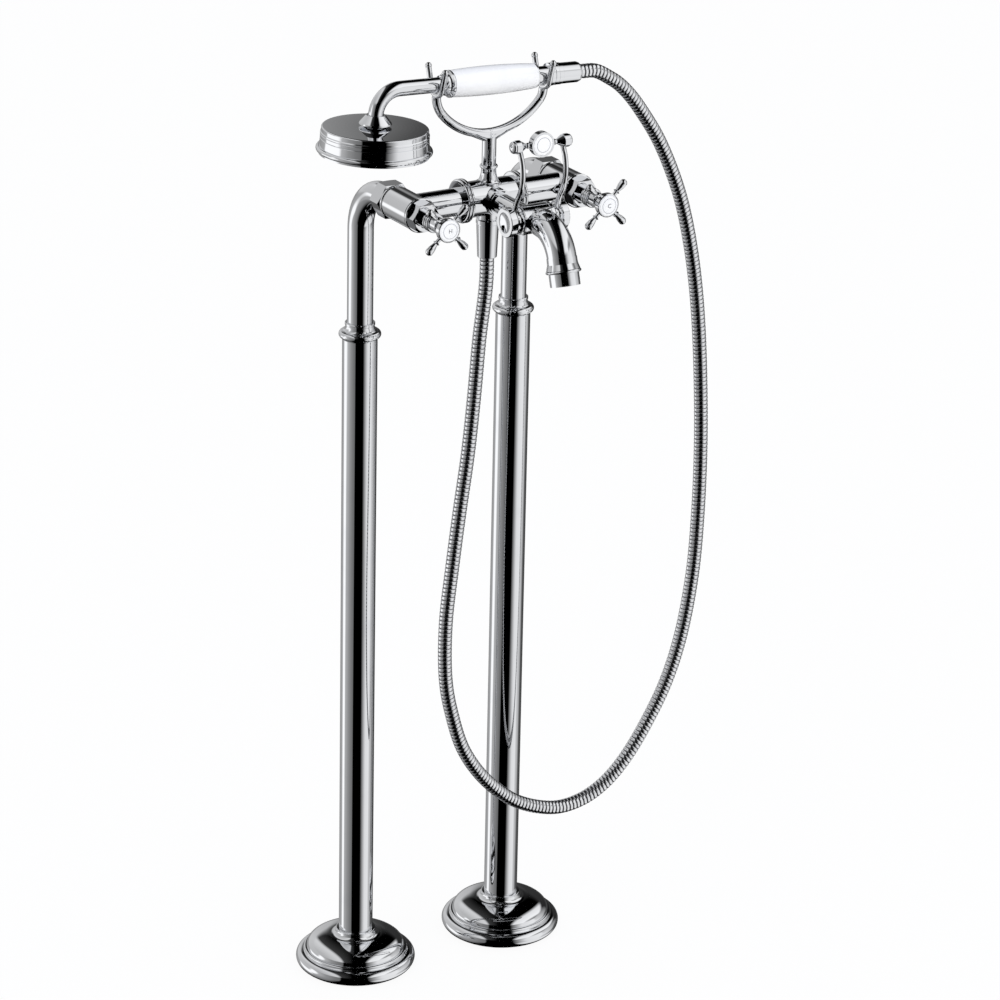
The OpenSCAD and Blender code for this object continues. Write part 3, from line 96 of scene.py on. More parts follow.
back = Vector((math.sin(CAMERA_AZIMUTH) * math.cos(CAMERA_ELEVATION),
               -math.cos(CAMERA_AZIMUTH) * math.cos(CAMERA_ELEVATION),
               math.sin(CAMERA_ELEVATION)))
level_right = Vector((math.cos(CAMERA_AZIMUTH), math.sin(CAMERA_AZIMUTH), 0))
level_up = back.cross(level_right)
right = level_right * math.cos(CAMERA_ROLL) + level_up * math.sin(CAMERA_ROLL)
up = level_up * math.cos(CAMERA_ROLL) - level_right * math.sin(CAMERA_ROLL)

bpy.ops.object.camera_add()
camera = bpy.context.object
camera.name = "camera"
camera.matrix_world = Matrix.Translation(CAMERA_TARGET + back * CAMERA_DISTANCE) @ Matrix(
    (right, up, back)).transposed().to_4x4()
camera.data.sensor_width = SENSOR
camera.data.lens = FOCAL_IN_FRAMES * SENSOR
camera.data.clip_end = CLIP_END
bpy.context.scene.camera = camera
print("camera at", [round(x, 3) for x in camera.location])

# %% [markdown]
# ## A small kit for shaders
# Every finish below is a tree of shader nodes. Node trees are long to write socket by
# socket, and hard to read afterwards. A `Wire` wraps one output socket, so that
# `1 - mask` or `mask * 0.2 + 0.8` reads as a sum and adds its own Math nodes.

# %% Wires between sockets
class Wire:
    def __init__(self, tree, socket):
        self.tree = tree
        self.socket = socket

    def math(self, operation, first, second):
        return self.tree.node("Math", {"operation": operation}, {0: first, 1: second})

    def __add__(self, other):
        return self.math("ADD", self, other)

    def __sub__(self, other):
        return self.math("SUBTRACT", self, other)

    def __rsub__(self, other):
        return self.math("SUBTRACT", other, self)

    def __mul__(self, other):
        return self.math("MULTIPLY", self, other)

    def __pow__(self, other):
        return self.math("POWER", self, other)

    __radd__ = __add__
    __rmul__ = __mul__

    def step(self, low, high):
        """A smooth step from 0 at low to 1 at high."""
        return self.tree.node("MapRange", {"interpolation_type": "SMOOTHSTEP"},
                              {"Value": self, "From Min": low, "From Max": high})


# %% [markdown]
# Any node that isn't a sum is added by a `Tree`, from its type, its settings and what
# goes into its sockets. A Mix node has sockets for numbers, vectors and colours under the
# same names, so its colour sockets are taken by their numbers.

# %% Trees of nodes
MIX_SHARE, MIX_FIRST, MIX_SECOND, MIX_RESULT = 0, 6, 7, 2


class Tree:
    def __init__(self, owner):
        owner.use_nodes = True
        self.owner = owner
        self.made = owner.node_tree
        self.made.nodes.clear()

    def node(self, kind, settings=None, inputs=None, out=0):
        made = self.made.nodes.new("ShaderNode" + kind)
        for name, value in (settings or {}).items():
            if name == "stops":
                ramp = made.color_ramp
                while len(ramp.elements) < len(value):
                    ramp.elements.new(0.5)
                for element, (place, level) in zip(ramp.elements, value):
                    element.position = place
                    element.color = rgb(level, level, level)
            else:
                setattr(made, name, value)
        for name, value in (inputs or {}).items():
            if isinstance(value, Wire):
                self.made.links.new(value.socket, made.inputs[name])
            else:
                made.inputs[name].default_value = value
        return Wire(self, made.outputs[out])

    def noise(self, scale, detail, stretch=None):
        """Noise on the piece's own coordinates, drawn out where stretch is small."""
        place = self.node("TexCoord", out="Object")
        if stretch:
            place = self.node("Mapping", {}, {"Vector": place, "Scale": stretch})
        return self.node("TexNoise", {}, {"Vector": place, "Scale": scale, "Detail": detail})

    def blend(self, share, first, second):
        """A colour between two colours."""
        return self.node("Mix", {"data_type": "RGBA"},
                         {MIX_SHARE: share, MIX_FIRST: first, MIX_SECOND: second}, MIX_RESULT)

    def bump(self, height, strength, distance):
        return self.node("Bump", {}, {"Height": height, "Strength": strength,
                                      "Distance": distance})

    def shader_mix(self, share, first, second):
        return self.node("MixShader", {}, {0: share, 1: first, 2: second})

    def shown(self, surface, kind="OutputMaterial"):
        """Puts a shader into the output, which makes the tree complete."""
        output = self.made.nodes.new("ShaderNode" + kind)
        self.made.links.new(surface.socket, output.inputs["Surface"])
        print(self.owner.name, "nodes", len(self.made.nodes))
        return self.owner

    def finish(self, **sockets):
        inputs = {name.replace("_", " "): value for name, value in sockets.items()}
        return self.shown(self.node("BsdfPrincipled", {}, inputs))


def rgb(red, green, blue):
    return (red, green, blue, 1.0)


# %% [markdown]
# ## Polished chrome
# Chrome plate on turned brass is a nearly perfect mirror with a faintly blue tint. One
# flat roughness would make it look like plastic film. On a real tap it is never quite
# even: hands leave films a few centimetres wide that haze the reflection a little, and
# polishing leaves hair lines too fine to see one by one. Both go into the roughness,
# because a strong bump would tear the long straight reflections.

# %% Chrome, with its faint haze
PLATE_ROUGHNESS = 0.012
HAZE_ROUGHNESS = 0.035
HAIR_ROUGHNESS = 0.02


def make_chrome():
    tree = Tree(bpy.data.materials.new("polished_chrome"))
    haze = tree.noise(scale=38.0, detail=3.0).step(0.52, 0.78)
    hair = tree.noise(scale=900.0, detail=1.0, stretch=(1.0, 1.0, 0.15))
    clean = rgb(0.80, 0.81, 0.83)
    hazed = rgb(0.765, 0.775, 0.80)
    return tree.finish(
        Base_Color=tree.blend(haze, clean, hazed), Metallic=1.0,
        Roughness=haze * HAZE_ROUGHNESS + hair * HAIR_ROUGHNESS + PLATE_ROUGHNESS)


chrome = make_chrome()

# %% [markdown]
# ## Brass, steel and rubber
# Below the plating and inside the valves sit bare brass, plain steel and black rubber.
# Turned brass keeps fine rings of the tool and brown spots where it was touched. Rolled
# steel has straight brush lines. Rubber is matt, with a dusty bloom. A picture of each
# could be wrapped round the parts, but noise that is squeezed along one axis gives the
# rings and lines at the right size on any part, with nothing to unwrap.

# %% The three plain finishes
GRAIN_DEPTH = 0.0001
BARE_METAL_ROUGHNESS = 0.22
RUBBER_ROUGHNESS = 0.6


def make_brass():
    tree = Tree(bpy.data.materials.new("turned_brass"))
    spots = tree.noise(scale=160.0, detail=4.0).step(0.45, 0.75)
    rings = tree.noise(scale=1400.0, detail=1.0, stretch=(0.05, 0.05, 1.0))
    clean = rgb(0.78, 0.62, 0.30)
    brown = rgb(0.55, 0.39, 0.17)
    return tree.finish(Base_Color=tree.blend(spots, clean, brown), Metallic=1.0,
                       Roughness=spots * 0.2 + BARE_METAL_ROUGHNESS,
                       Normal=tree.bump(rings, 0.25, GRAIN_DEPTH))


def make_steel():
    tree = Tree(bpy.data.materials.new("brushed_steel"))
    lines = tree.noise(scale=1500.0, detail=2.0, stretch=(1.0, 0.03, 1.0))
    patches = tree.noise(scale=60.0, detail=3.0)
    light = rgb(0.60, 0.61, 0.62)
    dull = rgb(0.50, 0.51, 0.53)
    return tree.finish(Base_Color=tree.blend(patches, light, dull), Metallic=1.0,
                       Roughness=lines * 0.2 + BARE_METAL_ROUGHNESS,
                       Normal=tree.bump(lines, 0.2, GRAIN_DEPTH))


def make_rubber():
    tree = Tree(bpy.data.materials.new("black_rubber"))
    bloom = tree.noise(scale=220.0, detail=4.0).step(0.4, 0.8)
    grain = tree.noise(scale=2600.0, detail=2.0)
    black = rgb(0.018, 0.018, 0.019)
    dusty = rgb(0.05, 0.05, 0.052)
    return tree.finish(Base_Color=tree.blend(bloom, black, dusty),
                       Roughness=bloom * 0.15 + RUBBER_ROUGHNESS,
                       Normal=tree.bump(grain, 0.3, GRAIN_DEPTH))


# %% [markdown]
# ## White porcelain
# The grip and the three discs are glazed porcelain. A glaze is a clear glass layer over a
# white body. One glossy white would do from afar, but a coat that carries the sharp
# highlight over a softer body looks right up close as well. The surface rolls a little,
# like orange peel, and its white drifts slightly between warm and cool where the glaze
# pooled.

# %% Porcelain glaze
BODY_ROUGHNESS = 0.22
GLAZE_ROUGHNESS = 0.04
PEEL_DEPTH = 0.0003


def make_porcelain():
    tree = Tree(bpy.data.materials.new("white_porcelain"))
    pooled = tree.noise(scale=45.0, detail=2.0).step(0.35, 0.7)
    peel = tree.noise(scale=160.0, detail=1.0)
    warm = rgb(0.95, 0.955, 0.965)
    cool = rgb(0.925, 0.93, 0.95)
    return tree.finish(Base_Color=tree.blend(pooled, warm, cool),
                       Roughness=pooled * 0.08 + BODY_ROUGHNESS, Coat_Weight=0.8,
                       Coat_Roughness=GLAZE_ROUGHNESS, Normal=tree.bump(peel, 0.05, PEEL_DEPTH))


FINISHES = {
    "chrome": chrome,
    "brass": make_brass(),
    "steel": make_steel(),
    "seal": make_rubber(),
    "porcelain": make_porcelain(),
}

# %% [markdown]
# ## Every solid gets its finish
# Each part of the real tap is of one metal, glaze or rubber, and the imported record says
# which. The finishes could be given by hand, part by part. A loop over the record can't
# forget a part, so the material slots of each CAD node take the finish of that name.

# %% Give every CAD node its finish
SLOT_OF = {row["node"]: row["material_slot"] for row in frame["record"]["subparts"]}
for name, node in nodes.items():
    finish = FINISHES.get(SLOT_OF[name], chrome)
    for slot in node.material_slots:
        slot.material = finish
print("finishes on nodes:", sorted(FINISHES))

# %% [markdown]
# ## The shower hose
# The hose is a strip of plated brass wound into interlocking rings over a rubber liner.
# It leaves the nut under the bar, hangs in one deep loop and climbs in a wide bow to the
# hand shower. A curve with a bevel would give a plain tube, so the tube is built ring by
# ring along the same line as the CAD hose. Its route is a row of points in millimetres,
# and it is straight for a short way at each nut.

# %% The route of the hose
MM = 0.001
BAR_Y = -0.080
BAR_Z = 0.723
HANDSET_RISE = 0.099
HANDSET_TILT = math.radians(2.2)
HOSE_R = 0.006
STRAIGHT_END = 2 * HOSE_R
LOWER_NUT_END = 0.0513
UPPER_NUT_END = 0.0834
HOSE_POINTS = [
    (-6, -80, 600), (-10, -80, 550), (-15, -80, 500), (-22, -80, 450), (-29, -81, 400),
    (-35, -82, 350), (-35, -83, 300), (-28, -84, 262), (-16, -85, 227), (6, -86, 195),
    (36, -87, 169), (71, -88, 155), (99, -88, 155), (124, -88, 165), (147, -87, 184),
    (169, -86, 213), (190, -85, 250), (205, -84, 293), (215, -83, 347), (219, -82, 401),
    (220, -81, 461), (218, -80, 521), (213, -80, 581), (206, -80, 630), (196, -80, 675),
    (184, -80, 711), (166, -80, 749), (146, -80, 779), (131, -80, 797), (116, -80, 809)]

hose_axis = Vector((math.cos(HANDSET_TILT), 0, -math.sin(HANDSET_TILT)))
hose_from = Vector((0, BAR_Y, BAR_Z - LOWER_NUT_END))
hose_to = Vector((0, BAR_Y, BAR_Z + HANDSET_RISE)) + hose_axis * UPPER_NUT_END
knots = [hose_from - Vector((0, 0, STRAIGHT_END))]
knots += [Vector(p) * MM for p in HOSE_POINTS]
knots.append(hose_to + hose_axis * STRAIGHT_END)
print("hose knots", len(knots))

# %% [markdown]
# A real hose bends softly, without a kink at any of these points. A curve object could
# smooth the route with handles of its own choice. A Hermite curve, whose slope at a knot
# follows from its two neighbours, is only a few lines of Python, and it gives the same
# line as the solid hose has.

# %% The line of the hose
STEPS_PER_SPAN = 8


def slope(i):
    """The slope of the curve at a knot, along the nut's own axis at either end."""
    if i == 0:
        return Vector((0, 0, -(knots[1] - knots[0]).length))
    if i == len(knots) - 1:
        return -(knots[i] - knots[i - 1]).length * hose_axis
    return (knots[i + 1] - knots[i - 1]) / 2


def hermite(i, t):
    """The point at share t of the span between two knots."""
    return ((2 * t ** 3 - 3 * t ** 2 + 1) * knots[i] + (t ** 3 - 2 * t ** 2 + t) * slope(i)
            + (3 * t ** 2 - 2 * t ** 3) * knots[i + 1] + (t ** 3 - t ** 2) * slope(i + 1))


hose_line = [hose_from]
for span in range(len(knots) - 1):
    hose_line += [hermite(span, step / STEPS_PER_SPAN) for step in range(STEPS_PER_SPAN)]
hose_line += [knots[-1], hose_to]
run = [0.0]
for before, after in zip(hose_line, hose_line[1:]):
    run.append(run[-1] + (after - before).length)
hose_length = run[-1]
print("hose length", round(hose_length, 4))

# %% [markdown]
# A wound strip has evenly spaced rings, but the spans of the curve aren't equally long.
# Rings placed by span would bunch up, so each point and heading of the line is found by
# its distance from the lower nut.

# %% Points and headings at any distance along it
def along(distance):
    distance = min(max(distance, 0.0), hose_length)
    at = max(i for i, start in enumerate(run[:-1]) if start <= distance)
    share = (distance - run[at]) / (run[at + 1] - run[at])
    return hose_line[at].lerp(hose_line[at + 1], share)


def heading(distance):
    return (along(distance + HOSE_R / 2) - along(distance - HOSE_R / 2)).normalized()


print("halfway along the hose", [round(x, 3) for x in along(hose_length / 2)])

# %% [markdown]
# One rib of the real hose has a flat crown with rounded shoulders and a narrow groove,
# where it hooks into the next. Ribs could be displaced from a finely divided tube, but
# that takes many more faces. Six rings of points to a rib, set where its outline bends,
# give the same shape. A level is a share of the hose's radius.

# %% Where the rings of points stand
RIB_PITCH = 0.0036
GROOVE_DEPTH = 0.075
SHOULDER = 0.985
GROOVE = 1 - GROOVE_DEPTH
RIB_SHAPE = [(0.0, SHOULDER), (0.12, 1.0), (0.60, 1.0), (0.72, SHOULDER), (0.80, GROOVE),
             (0.92, GROOVE)]
rib_count = round(hose_length / RIB_PITCH)
ring_places = [((rib + share) * hose_length / rib_count, level)
               for rib in range(rib_count) for share, level in RIB_SHAPE]
ring_places.append((hose_length, SHOULDER))
print("ribs", rib_count, "rings of points", len(ring_places))

# %% [markdown]
# The rings are joined with faces, and both ends are closed. A mesh of this many equal
# faces is quicker and surer to make with bmesh than with operators, which select and
# extrude a ring at a time. Each point keeps how deep it lies in the groove, as an
# attribute that the finish will read.

# %% The faces of the hose skin
HOSE_SIDES = 20
hose_mesh = bpy.data.meshes.new("shower_hose_skin")
shaper = bmesh.new()
rings = []
levels = []
for distance, level in ring_places:
    ahead = heading(distance)
    side = ahead.cross(Vector((0, 1, 0)).cross(ahead)).normalized()
    other = ahead.cross(side)
    middle = along(distance)
    ring = []
    for corner in range(HOSE_SIDES):
        turn = 2 * math.pi * corner / HOSE_SIDES
        ring.append(shaper.verts.new(middle + HOSE_R * level * (
            side * math.cos(turn) + other * math.sin(turn))))
        levels.append(level)
    rings.append(ring)
for ring, following in zip(rings, rings[1:]):
    for corner in range(HOSE_SIDES):
        beside = (corner + 1) % HOSE_SIDES
        shaper.faces.new((ring[corner], ring[beside], following[beside], following[corner]))
shaper.faces.new(list(reversed(rings[0])))
shaper.faces.new(rings[-1])
shaper.normal_update()
shaper.to_mesh(hose_mesh)
shaper.free()
valley = hose_mesh.attributes.new("valley", "FLOAT", "POINT")
valley.data.foreach_set("value", [(1.0 - level) / GROOVE_DEPTH for level in levels])
hose = bpy.data.objects.new("shower_hose_skin", hose_mesh)
bpy.context.scene.collection.objects.link(hose)
for face in hose_mesh.polygons:
    face.use_smooth = True
print("hose faces", len(hose_mesh.polygons))

# %% [markdown]
# The wound strip shines on its crowns. Its grooves, where two rings interlock, are
# painted dark for the shade that falls in them. This painted shade could be drawn by a
# wave texture, but it would drift off the ribs in the bends, so the attribute of the mesh
# drives the colour and the roughness.

# %% The finish of the hose
WOUND_ROUGHNESS = 0.13


def make_hose_metal():
    tree = Tree(bpy.data.materials.new("wound_hose_metal"))
    # How deep a point lies in the groove: it roughens the metal there and also paints shade
    # into its colour.
    groove_and_painted_shade = tree.node("Attribute", {"attribute_name": "valley"}, out="Fac")
    wear = tree.noise(scale=120.0, detail=3.0).step(0.4, 0.75)
    bright = rgb(0.82, 0.83, 0.85)
    worn = rgb(0.74, 0.75, 0.775)
    # Painted shade: the colour the grooves get for the shade that falls in them.
    dark = rgb(0.16, 0.16, 0.17)
    return tree.finish(
        Base_Color=tree.blend(groove_and_painted_shade ** 1.5, tree.blend(wear, bright, worn), dark),
        Metallic=1.0, Roughness=groove_and_painted_shade * 0.25 + wear * 0.06 + WOUND_ROUGHNESS)


hose_mesh.materials.append(make_hose_metal())

# %% [markdown]
# When the hand shower is lifted, the real hose follows it. Riding on one body alone, the
# skin would either stay behind or tear off the lower nut. Here it is only set in place in
# the world, instead of the CAD hose, and it rides on no body.

# %% The hose takes the CAD hose's place
PATH_STEPS = 400
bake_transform(hose)
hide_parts("shower_hose")
[tuple(along(hose_length * i / PATH_STEPS)) for i in range(PATH_STEPS + 1)]
print("hose from", [round(x, 3) for x in hose_from], "to", [round(x, 3) for x in hose_to])

# %% [markdown]
# ## Turned pieces
# A lathe makes most of this tap, and the spin operator is Blender's lathe. One point is
# extruded along the outline, edge by edge, and the closed outline is then spun round the
# axis. A screw modifier would do it too, but an operator leaves a plain mesh at once. The
# seam where the spin meets itself is merged, and the normals are made to agree.

# %% A lathe
SHORTEST_EDGE_MM = 1e-4
CLOSING_GAP = 1e-7
SEAM_GAP = 1e-6


def arc(middle, radii, start, end, steps=14):
    """Points of an elliptic arc, in millimetres, with its angles in degrees."""
    turns = [math.radians(start + (end - start) * i / steps) for i in range(steps + 1)]
    return [(middle[0] + radii[0] * math.cos(a), middle[1] + radii[1] * math.sin(a))
            for a in turns]


def turned(name, outline, frame, sides=144, crease=30):
    """A closed outline of radius and height in millimetres, spun about the frame's Z."""
    outline = [point for last, point in zip([outline[-1]] + outline, outline)
               if math.dist(last, point) > SHORTEST_EDGE_MM]
    bpy.ops.object.select_all(action="DESELECT")
    bpy.ops.mesh.primitive_plane_add(size=MM)
    piece = bpy.context.object
    piece.name = name
    bpy.ops.object.mode_set(mode="EDIT")
    bpy.ops.mesh.select_all(action="SELECT")
    bpy.ops.mesh.merge(type="CENTER")
    bpy.ops.transform.translate(value=(outline[0][0] * MM, 0, outline[0][1] * MM))
    for before, after in zip(outline, outline[1:] + outline[:1]):
        step = ((after[0] - before[0]) * MM, 0, (after[1] - before[1]) * MM)
        bpy.ops.mesh.extrude_region_move(TRANSFORM_OT_translate={"value": step})
    bpy.ops.mesh.select_all(action="SELECT")
    bpy.ops.mesh.remove_doubles(threshold=CLOSING_GAP)
    bpy.ops.mesh.spin(steps=sides, angle=2 * math.pi, center=(0, 0, 0), axis=(0, 0, 1))
    bpy.ops.mesh.select_all(action="SELECT")
    bpy.ops.mesh.remove_doubles(threshold=SEAM_GAP)
    bpy.ops.mesh.normals_make_consistent(inside=False)
    bpy.ops.object.mode_set(mode="OBJECT")
    bpy.ops.object.shade_smooth_by_angle(angle=math.radians(crease))
    piece.data.transform(frame)
    print(name, "faces", len(piece.data.polygons))
    return piece


def copied(piece, name, frame):
    """The same piece again with a mesh of its own, moved by the frame."""
    twin = piece.copy()
    twin.data = piece.data.copy()
    twin.data.transform(frame)
    twin.name = name
    bpy.context.scene.collection.objects.link(twin)
    return twin


# %% [markdown]
# ## The floor flanges
# Each pillar ends in a spun brass bell: a fat round rim on the floor, a step ring, a domed
# shoulder and a thin lip that closes on the tube. The CAD solids have this outline too,
# and could stay. But reflections bend sharply on the shoulder, so the two pieces are
# turned again here with many more, finer faces.

# %% Two floor flanges
LEG_X = 0.075
FOOT_R = 44.7
BORE_R = 15.15
LIP_TOP = 34.5
DOME_MIDDLE = (22.05, 16.4)
DOME_RADII = (21.5, 11.7)
HOLLOW_RADII = (19.7, 9.9)
BELL_OUTSIDE = (
    arc((46.5, 6.5), (6.5, 6.5), -90, 90, 28)  # fat round rim
    + arc((44.4, 14.7), (1.7, 1.7), -30, 90)  # step ring
    + arc(DOME_MIDDLE, DOME_RADII, 0, 90, 40)[:-1]
    + arc((22.05, 33.3), (5.2, 5.2), -90, -180, 16)  # hollow curve up to the lip
    + arc((16.85, 33.9), (0.6, 0.6), -90, 90, 8))  # round edge of the lip
BELL_INSIDE = [(BORE_R, LIP_TOP), (BORE_R, 26.3)] + arc(DOME_MIDDLE, HOLLOW_RADII, 90, 0, 20)
FLANGE_OUTLINE = [(FOOT_R, 0.0)] + BELL_OUTSIDE + BELL_INSIDE + [(FOOT_R, 11.2)]

hot_flange = turned("hot_flange_bell", FLANGE_OUTLINE, Matrix.Translation((-LEG_X, 0, 0)))
hot_flange.data.materials.append(chrome)
cold_flange = copied(hot_flange, "cold_flange_bell", Matrix.Translation((2 * LEG_X, 0, 0)))
for side, flange in (("hot", hot_flange), ("cold", cold_flange)):
    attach(flange, "stand")
    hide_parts(side + "_floor_flange")

# %% [markdown]
# ## The caps of the lever's hub
# The two caps that close the ends of the hub are turned with a slight dish. It is only a
# millimetre deep, but it makes one part of the cap mirror the dark of the room and
# another part the light. A flat cap would have a single tone, and a dish that is only
# drawn by a bump would be missing from the mesh.

# %% Two dished caps
HUB_MIDDLE = (0.0, -0.152, 0.7245)
HUB_OUTER = 27.4
CAP_R = 8.4
CAP_T = 2.0
CAP_EDGE = 0.3
CAP_DISH = 1.1
DISH_STEPS = 12


def cap_outline():
    """From the middle of the back, round the edge, and down into the dish."""
    mouth = CAP_R - 2 * CAP_EDGE
    rim = arc((CAP_R - CAP_EDGE, HUB_OUTER - CAP_EDGE), (CAP_EDGE, CAP_EDGE), 0, 180, 8)
    dish = [(mouth * (1 - i / DISH_STEPS),
             HUB_OUTER - CAP_EDGE + CAP_DISH * ((1 - i / DISH_STEPS) ** 2 - 1))
            for i in range(1, DISH_STEPS + 1)]
    return [(0, HUB_OUTER - CAP_T), (CAP_R, HUB_OUTER - CAP_T)] + rim + dish


for side, turn in (("hot", -90), ("cold", 90)):
    cap = turned(side + "_hub_cap", cap_outline(), Matrix.Translation(HUB_MIDDLE)
                 @ Matrix.Rotation(math.radians(turn), 4, "Y"), sides=72)
    cap.data.materials.append(chrome)
    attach(cap, "diverter")
    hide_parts(side + "_lever_cap")

# %% [markdown]
# ## Marks on the porcelain discs
# The marks on the two handles tell hot from cold. They are enamel, fired into the glaze:
# grey for a fine ring and nearly black for a letter. Enamel could be painted on the disc
# by a mask in its glaze. Small solids of their own keep a sharp edge from any distance,
# so that way is chosen, and they need a finish each.

# %% Enamel colours
ENAMEL_ROUGHNESS = 0.25


def make_enamel(name, light, dark):
    tree = Tree(bpy.data.materials.new(name))
    pooled = tree.noise(scale=900.0, detail=2.0).step(0.35, 0.7)
    return tree.finish(Base_Color=tree.blend(pooled, light, dark),
                       Roughness=pooled * 0.1 + ENAMEL_ROUGHNESS, Coat_Weight=0.5)


ring_enamel = make_enamel("grey_ring_enamel", rgb(0.42, 0.43, 0.46), rgb(0.36, 0.37, 0.40))
letter_enamel = make_enamel("dark_letter_enamel", rgb(0.07, 0.07, 0.085),
                            rgb(0.045, 0.045, 0.055))

# %% [markdown]
# Each handle disc has a ring and one plain letter, H or C, in Blender's own font. The
# lever's disc has a ring alone. They stand a few hundredths of a millimetre proud of the
# glaze and reach down into it, so no gap shows. A ring is turned, and a letter is a text
# object that is made a mesh. Both ride on the handle or the lever and turn with it.

# %% Rings and letters
DISC_BASE_Y = -0.147
LEVER_DISC_PLACE = (0, -0.1645, 0.7892)
FACING_BATH = Matrix.Rotation(math.radians(90), 4, "X")
RING_SUNK = 0.25
RING_PROUD = 0.05
RING_SIDES = 96
LETTER_SIZE = 5.0
LETTER_HALF_T = 0.12
LETTER_TOP = 1.03


def enamel_ring(name, radius, width, lift, place, body):
    """A flat enamel ring with rounded edges, on a disc that faces the bath."""
    half = width / 2
    outline = [(radius - half, lift - RING_SUNK), (radius + half, lift - RING_SUNK)]
    outline += arc((radius, lift), (half, RING_PROUD), 0, 180, 8)
    ring = turned(name, outline, Matrix.Translation(place) @ FACING_BATH, sides=RING_SIDES)
    ring.data.materials.append(ring_enamel)
    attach(ring, body)


def enamel_letter(name, letter, place, body):
    """One letter at the middle of a disc that faces the bath."""
    bpy.ops.object.select_all(action="DESELECT")
    bpy.ops.object.text_add()
    mark = bpy.context.object
    mark.data.body = letter
    mark.data.size = LETTER_SIZE * MM
    mark.data.align_x = "CENTER"
    mark.data.align_y = "CENTER"
    mark.data.extrude = LETTER_HALF_T * MM
    bpy.ops.object.convert(target="MESH")
    mark = bpy.context.object
    mark.name = name
    mark.data.transform(Matrix.Translation(place) @ FACING_BATH
                        @ Matrix.Translation((0, 0, (LETTER_TOP - LETTER_HALF_T) * MM)))
    mark.data.materials.append(letter_enamel)
    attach(mark, body)
    print(name, "faces", len(mark.data.polygons))


for side, letter, x in (("hot", "H", -LEG_X), ("cold", "C", LEG_X)):
    disc_place = (x, DISC_BASE_Y, BAR_Z)
    enamel_ring(side + "_disc_ring", 6.2, 0.5, 0.68, disc_place, side + "_cross")
    enamel_letter(side + "_disc_letter", letter, disc_place, side + "_cross")
enamel_ring("lever_disc_ring", 6.0, 0.45, 0.52, LEVER_DISC_PLACE, "diverter")

# %% [markdown]
# ## Spray nozzles
# Water leaves the head through soft nozzles that can be rubbed clean of scale. Each is a
# little tapered collar with a hole. It could be extruded from a small circle, but it is
# round all over, so it is turned like the rest, with few sides because it is so small.

# %% The nozzle in the middle
NOZZLE_HOLE_R = 0.75
NOZZLE_FOOT_R = 1.9
NOZZLE_TIP_R = 1.15
FACE_LEVEL = -51.6
FOOT_LEVEL = FACE_LEVEL + 0.3
TIP_LEVEL = FACE_LEVEL - 1.35
HEAD_REACH = 0.1056
NOZZLE_OUTLINE = [(NOZZLE_HOLE_R, FOOT_LEVEL), (NOZZLE_FOOT_R, FOOT_LEVEL),
                  (NOZZLE_FOOT_R, FACE_LEVEL - 0.2), (1.35, FACE_LEVEL - 1.2),
                  (NOZZLE_TIP_R, TIP_LEVEL), (NOZZLE_HOLE_R, TIP_LEVEL)]
head_frame = (Matrix.Translation((0, BAR_Y, BAR_Z + HANDSET_RISE))
              @ Matrix.Rotation(HANDSET_TILT, 4, "Y") @ Matrix.Translation((-HEAD_REACH, 0, 0)))
nozzle = turned("spray_nozzles", NOZZLE_OUTLINE, head_frame, sides=14)

# %% [markdown]
# The other nozzles stand round it in three rings, and each ring has six more than the one
# inside it. Array modifiers would need one for each ring, so the first nozzle is copied to
# every spot, and all are joined into a single piece.

# %% Nozzles in three rings
NOZZLE_RINGS = 3
NOZZLES_IN_FIRST_RING = 6
NOZZLE_PITCH = 11.0
spots =[(NOZZLE_PITCH * ring * MM, math.radians(360 / (NOZZLES_IN_FIRST_RING * ring) * i))
         for ring in range(1, NOZZLE_RINGS + 1) for i in range(NOZZLES_IN_FIRST_RING * ring)]
others = []
for reach, turn in spots:
    move = head_frame @ Matrix.Translation(
        (reach * math.cos(turn), reach * math.sin(turn), 0)) @ head_frame.inverted()
    others.append(copied(nozzle, "nozzle", move))
bpy.ops.object.select_all(action="DESELECT")
for piece in others + [nozzle]:
    piece.select_set(True)
bpy.context.view_layer.objects.active = nozzle
bpy.ops.object.join()
nozzle.data.materials.append(FINISHES["seal"])
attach(nozzle, "handset")
print("nozzles", len(spots) + 1)

# %% [markdown]
# ## The studio
# A chrome tube shows its room, not itself. Real panels could be set up round the tap, but
# then they would light the white porcelain too. A world that only reflected rays see does
# the same job alone. Behind the camera it has a dark strip between a grey left and a light
# right. Behind the tap it is grey on the left and dark on the right, and both far sides
# are bright. The ceiling and the floor have a light panel on the right and are dark in
# the middle. The eye sees plain white.

# %% The grey levels of the room
# Each wall is a row of places, from -1 on the far left to 1 on the far right, with a level.
FRONT_STOPS = [(-1.0, 1.0), (-0.965, 0.98), (-0.93, 0.42), (-0.80, 0.27), (-0.60, 0.18),
               (-0.44, 0.14), (-0.40, 0.0), (0.42, 0.0), (0.50, 0.13), (0.62, 0.34),
               (0.78, 0.72), (1.0, 0.80)]
BACK_STOPS = [(-1.0, 1.0), (-0.86, 0.98), (-0.81, 0.36), (-0.50, 0.28), (-0.14, 0.24),
              (0.0, 0.05), (0.50, 0.05), (0.78, 0.09), (0.86, 0.42), (0.95, 0.6), (1.0, 0.80)]
UPPER_BACK_STOPS = [(-1.0, 0.46), (-0.50, 0.54), (-0.14, 0.44), (-0.04, 0.20), (0.02, 0.06),
                    (0.10, 0.03), (0.60, 0.02), (0.72, 0.20), (1.0, 0.60)]
TOP_STOPS = [(-1.0, 0.40), (-0.80, 0.46), (-0.50, 0.62), (-0.44, 0.58), (-0.36, 0.04),
             (-0.06, 0.0), (0.38, 0.0), (0.50, 0.75), (0.78, 0.90), (0.88, 0.12), (1.0, 0.05)]
FLOOR_STOPS = [(-1.0, 0.60), (-0.80, 0.27), (-0.60, 0.18), (-0.42, 0.0), (0.42, 0.0),
               (0.53, 0.70), (1.0, 0.85)]
print("levels in the room",
      sum(map(len, (FRONT_STOPS, BACK_STOPS, UPPER_BACK_STOPS, TOP_STOPS, FLOOR_STOPS))))

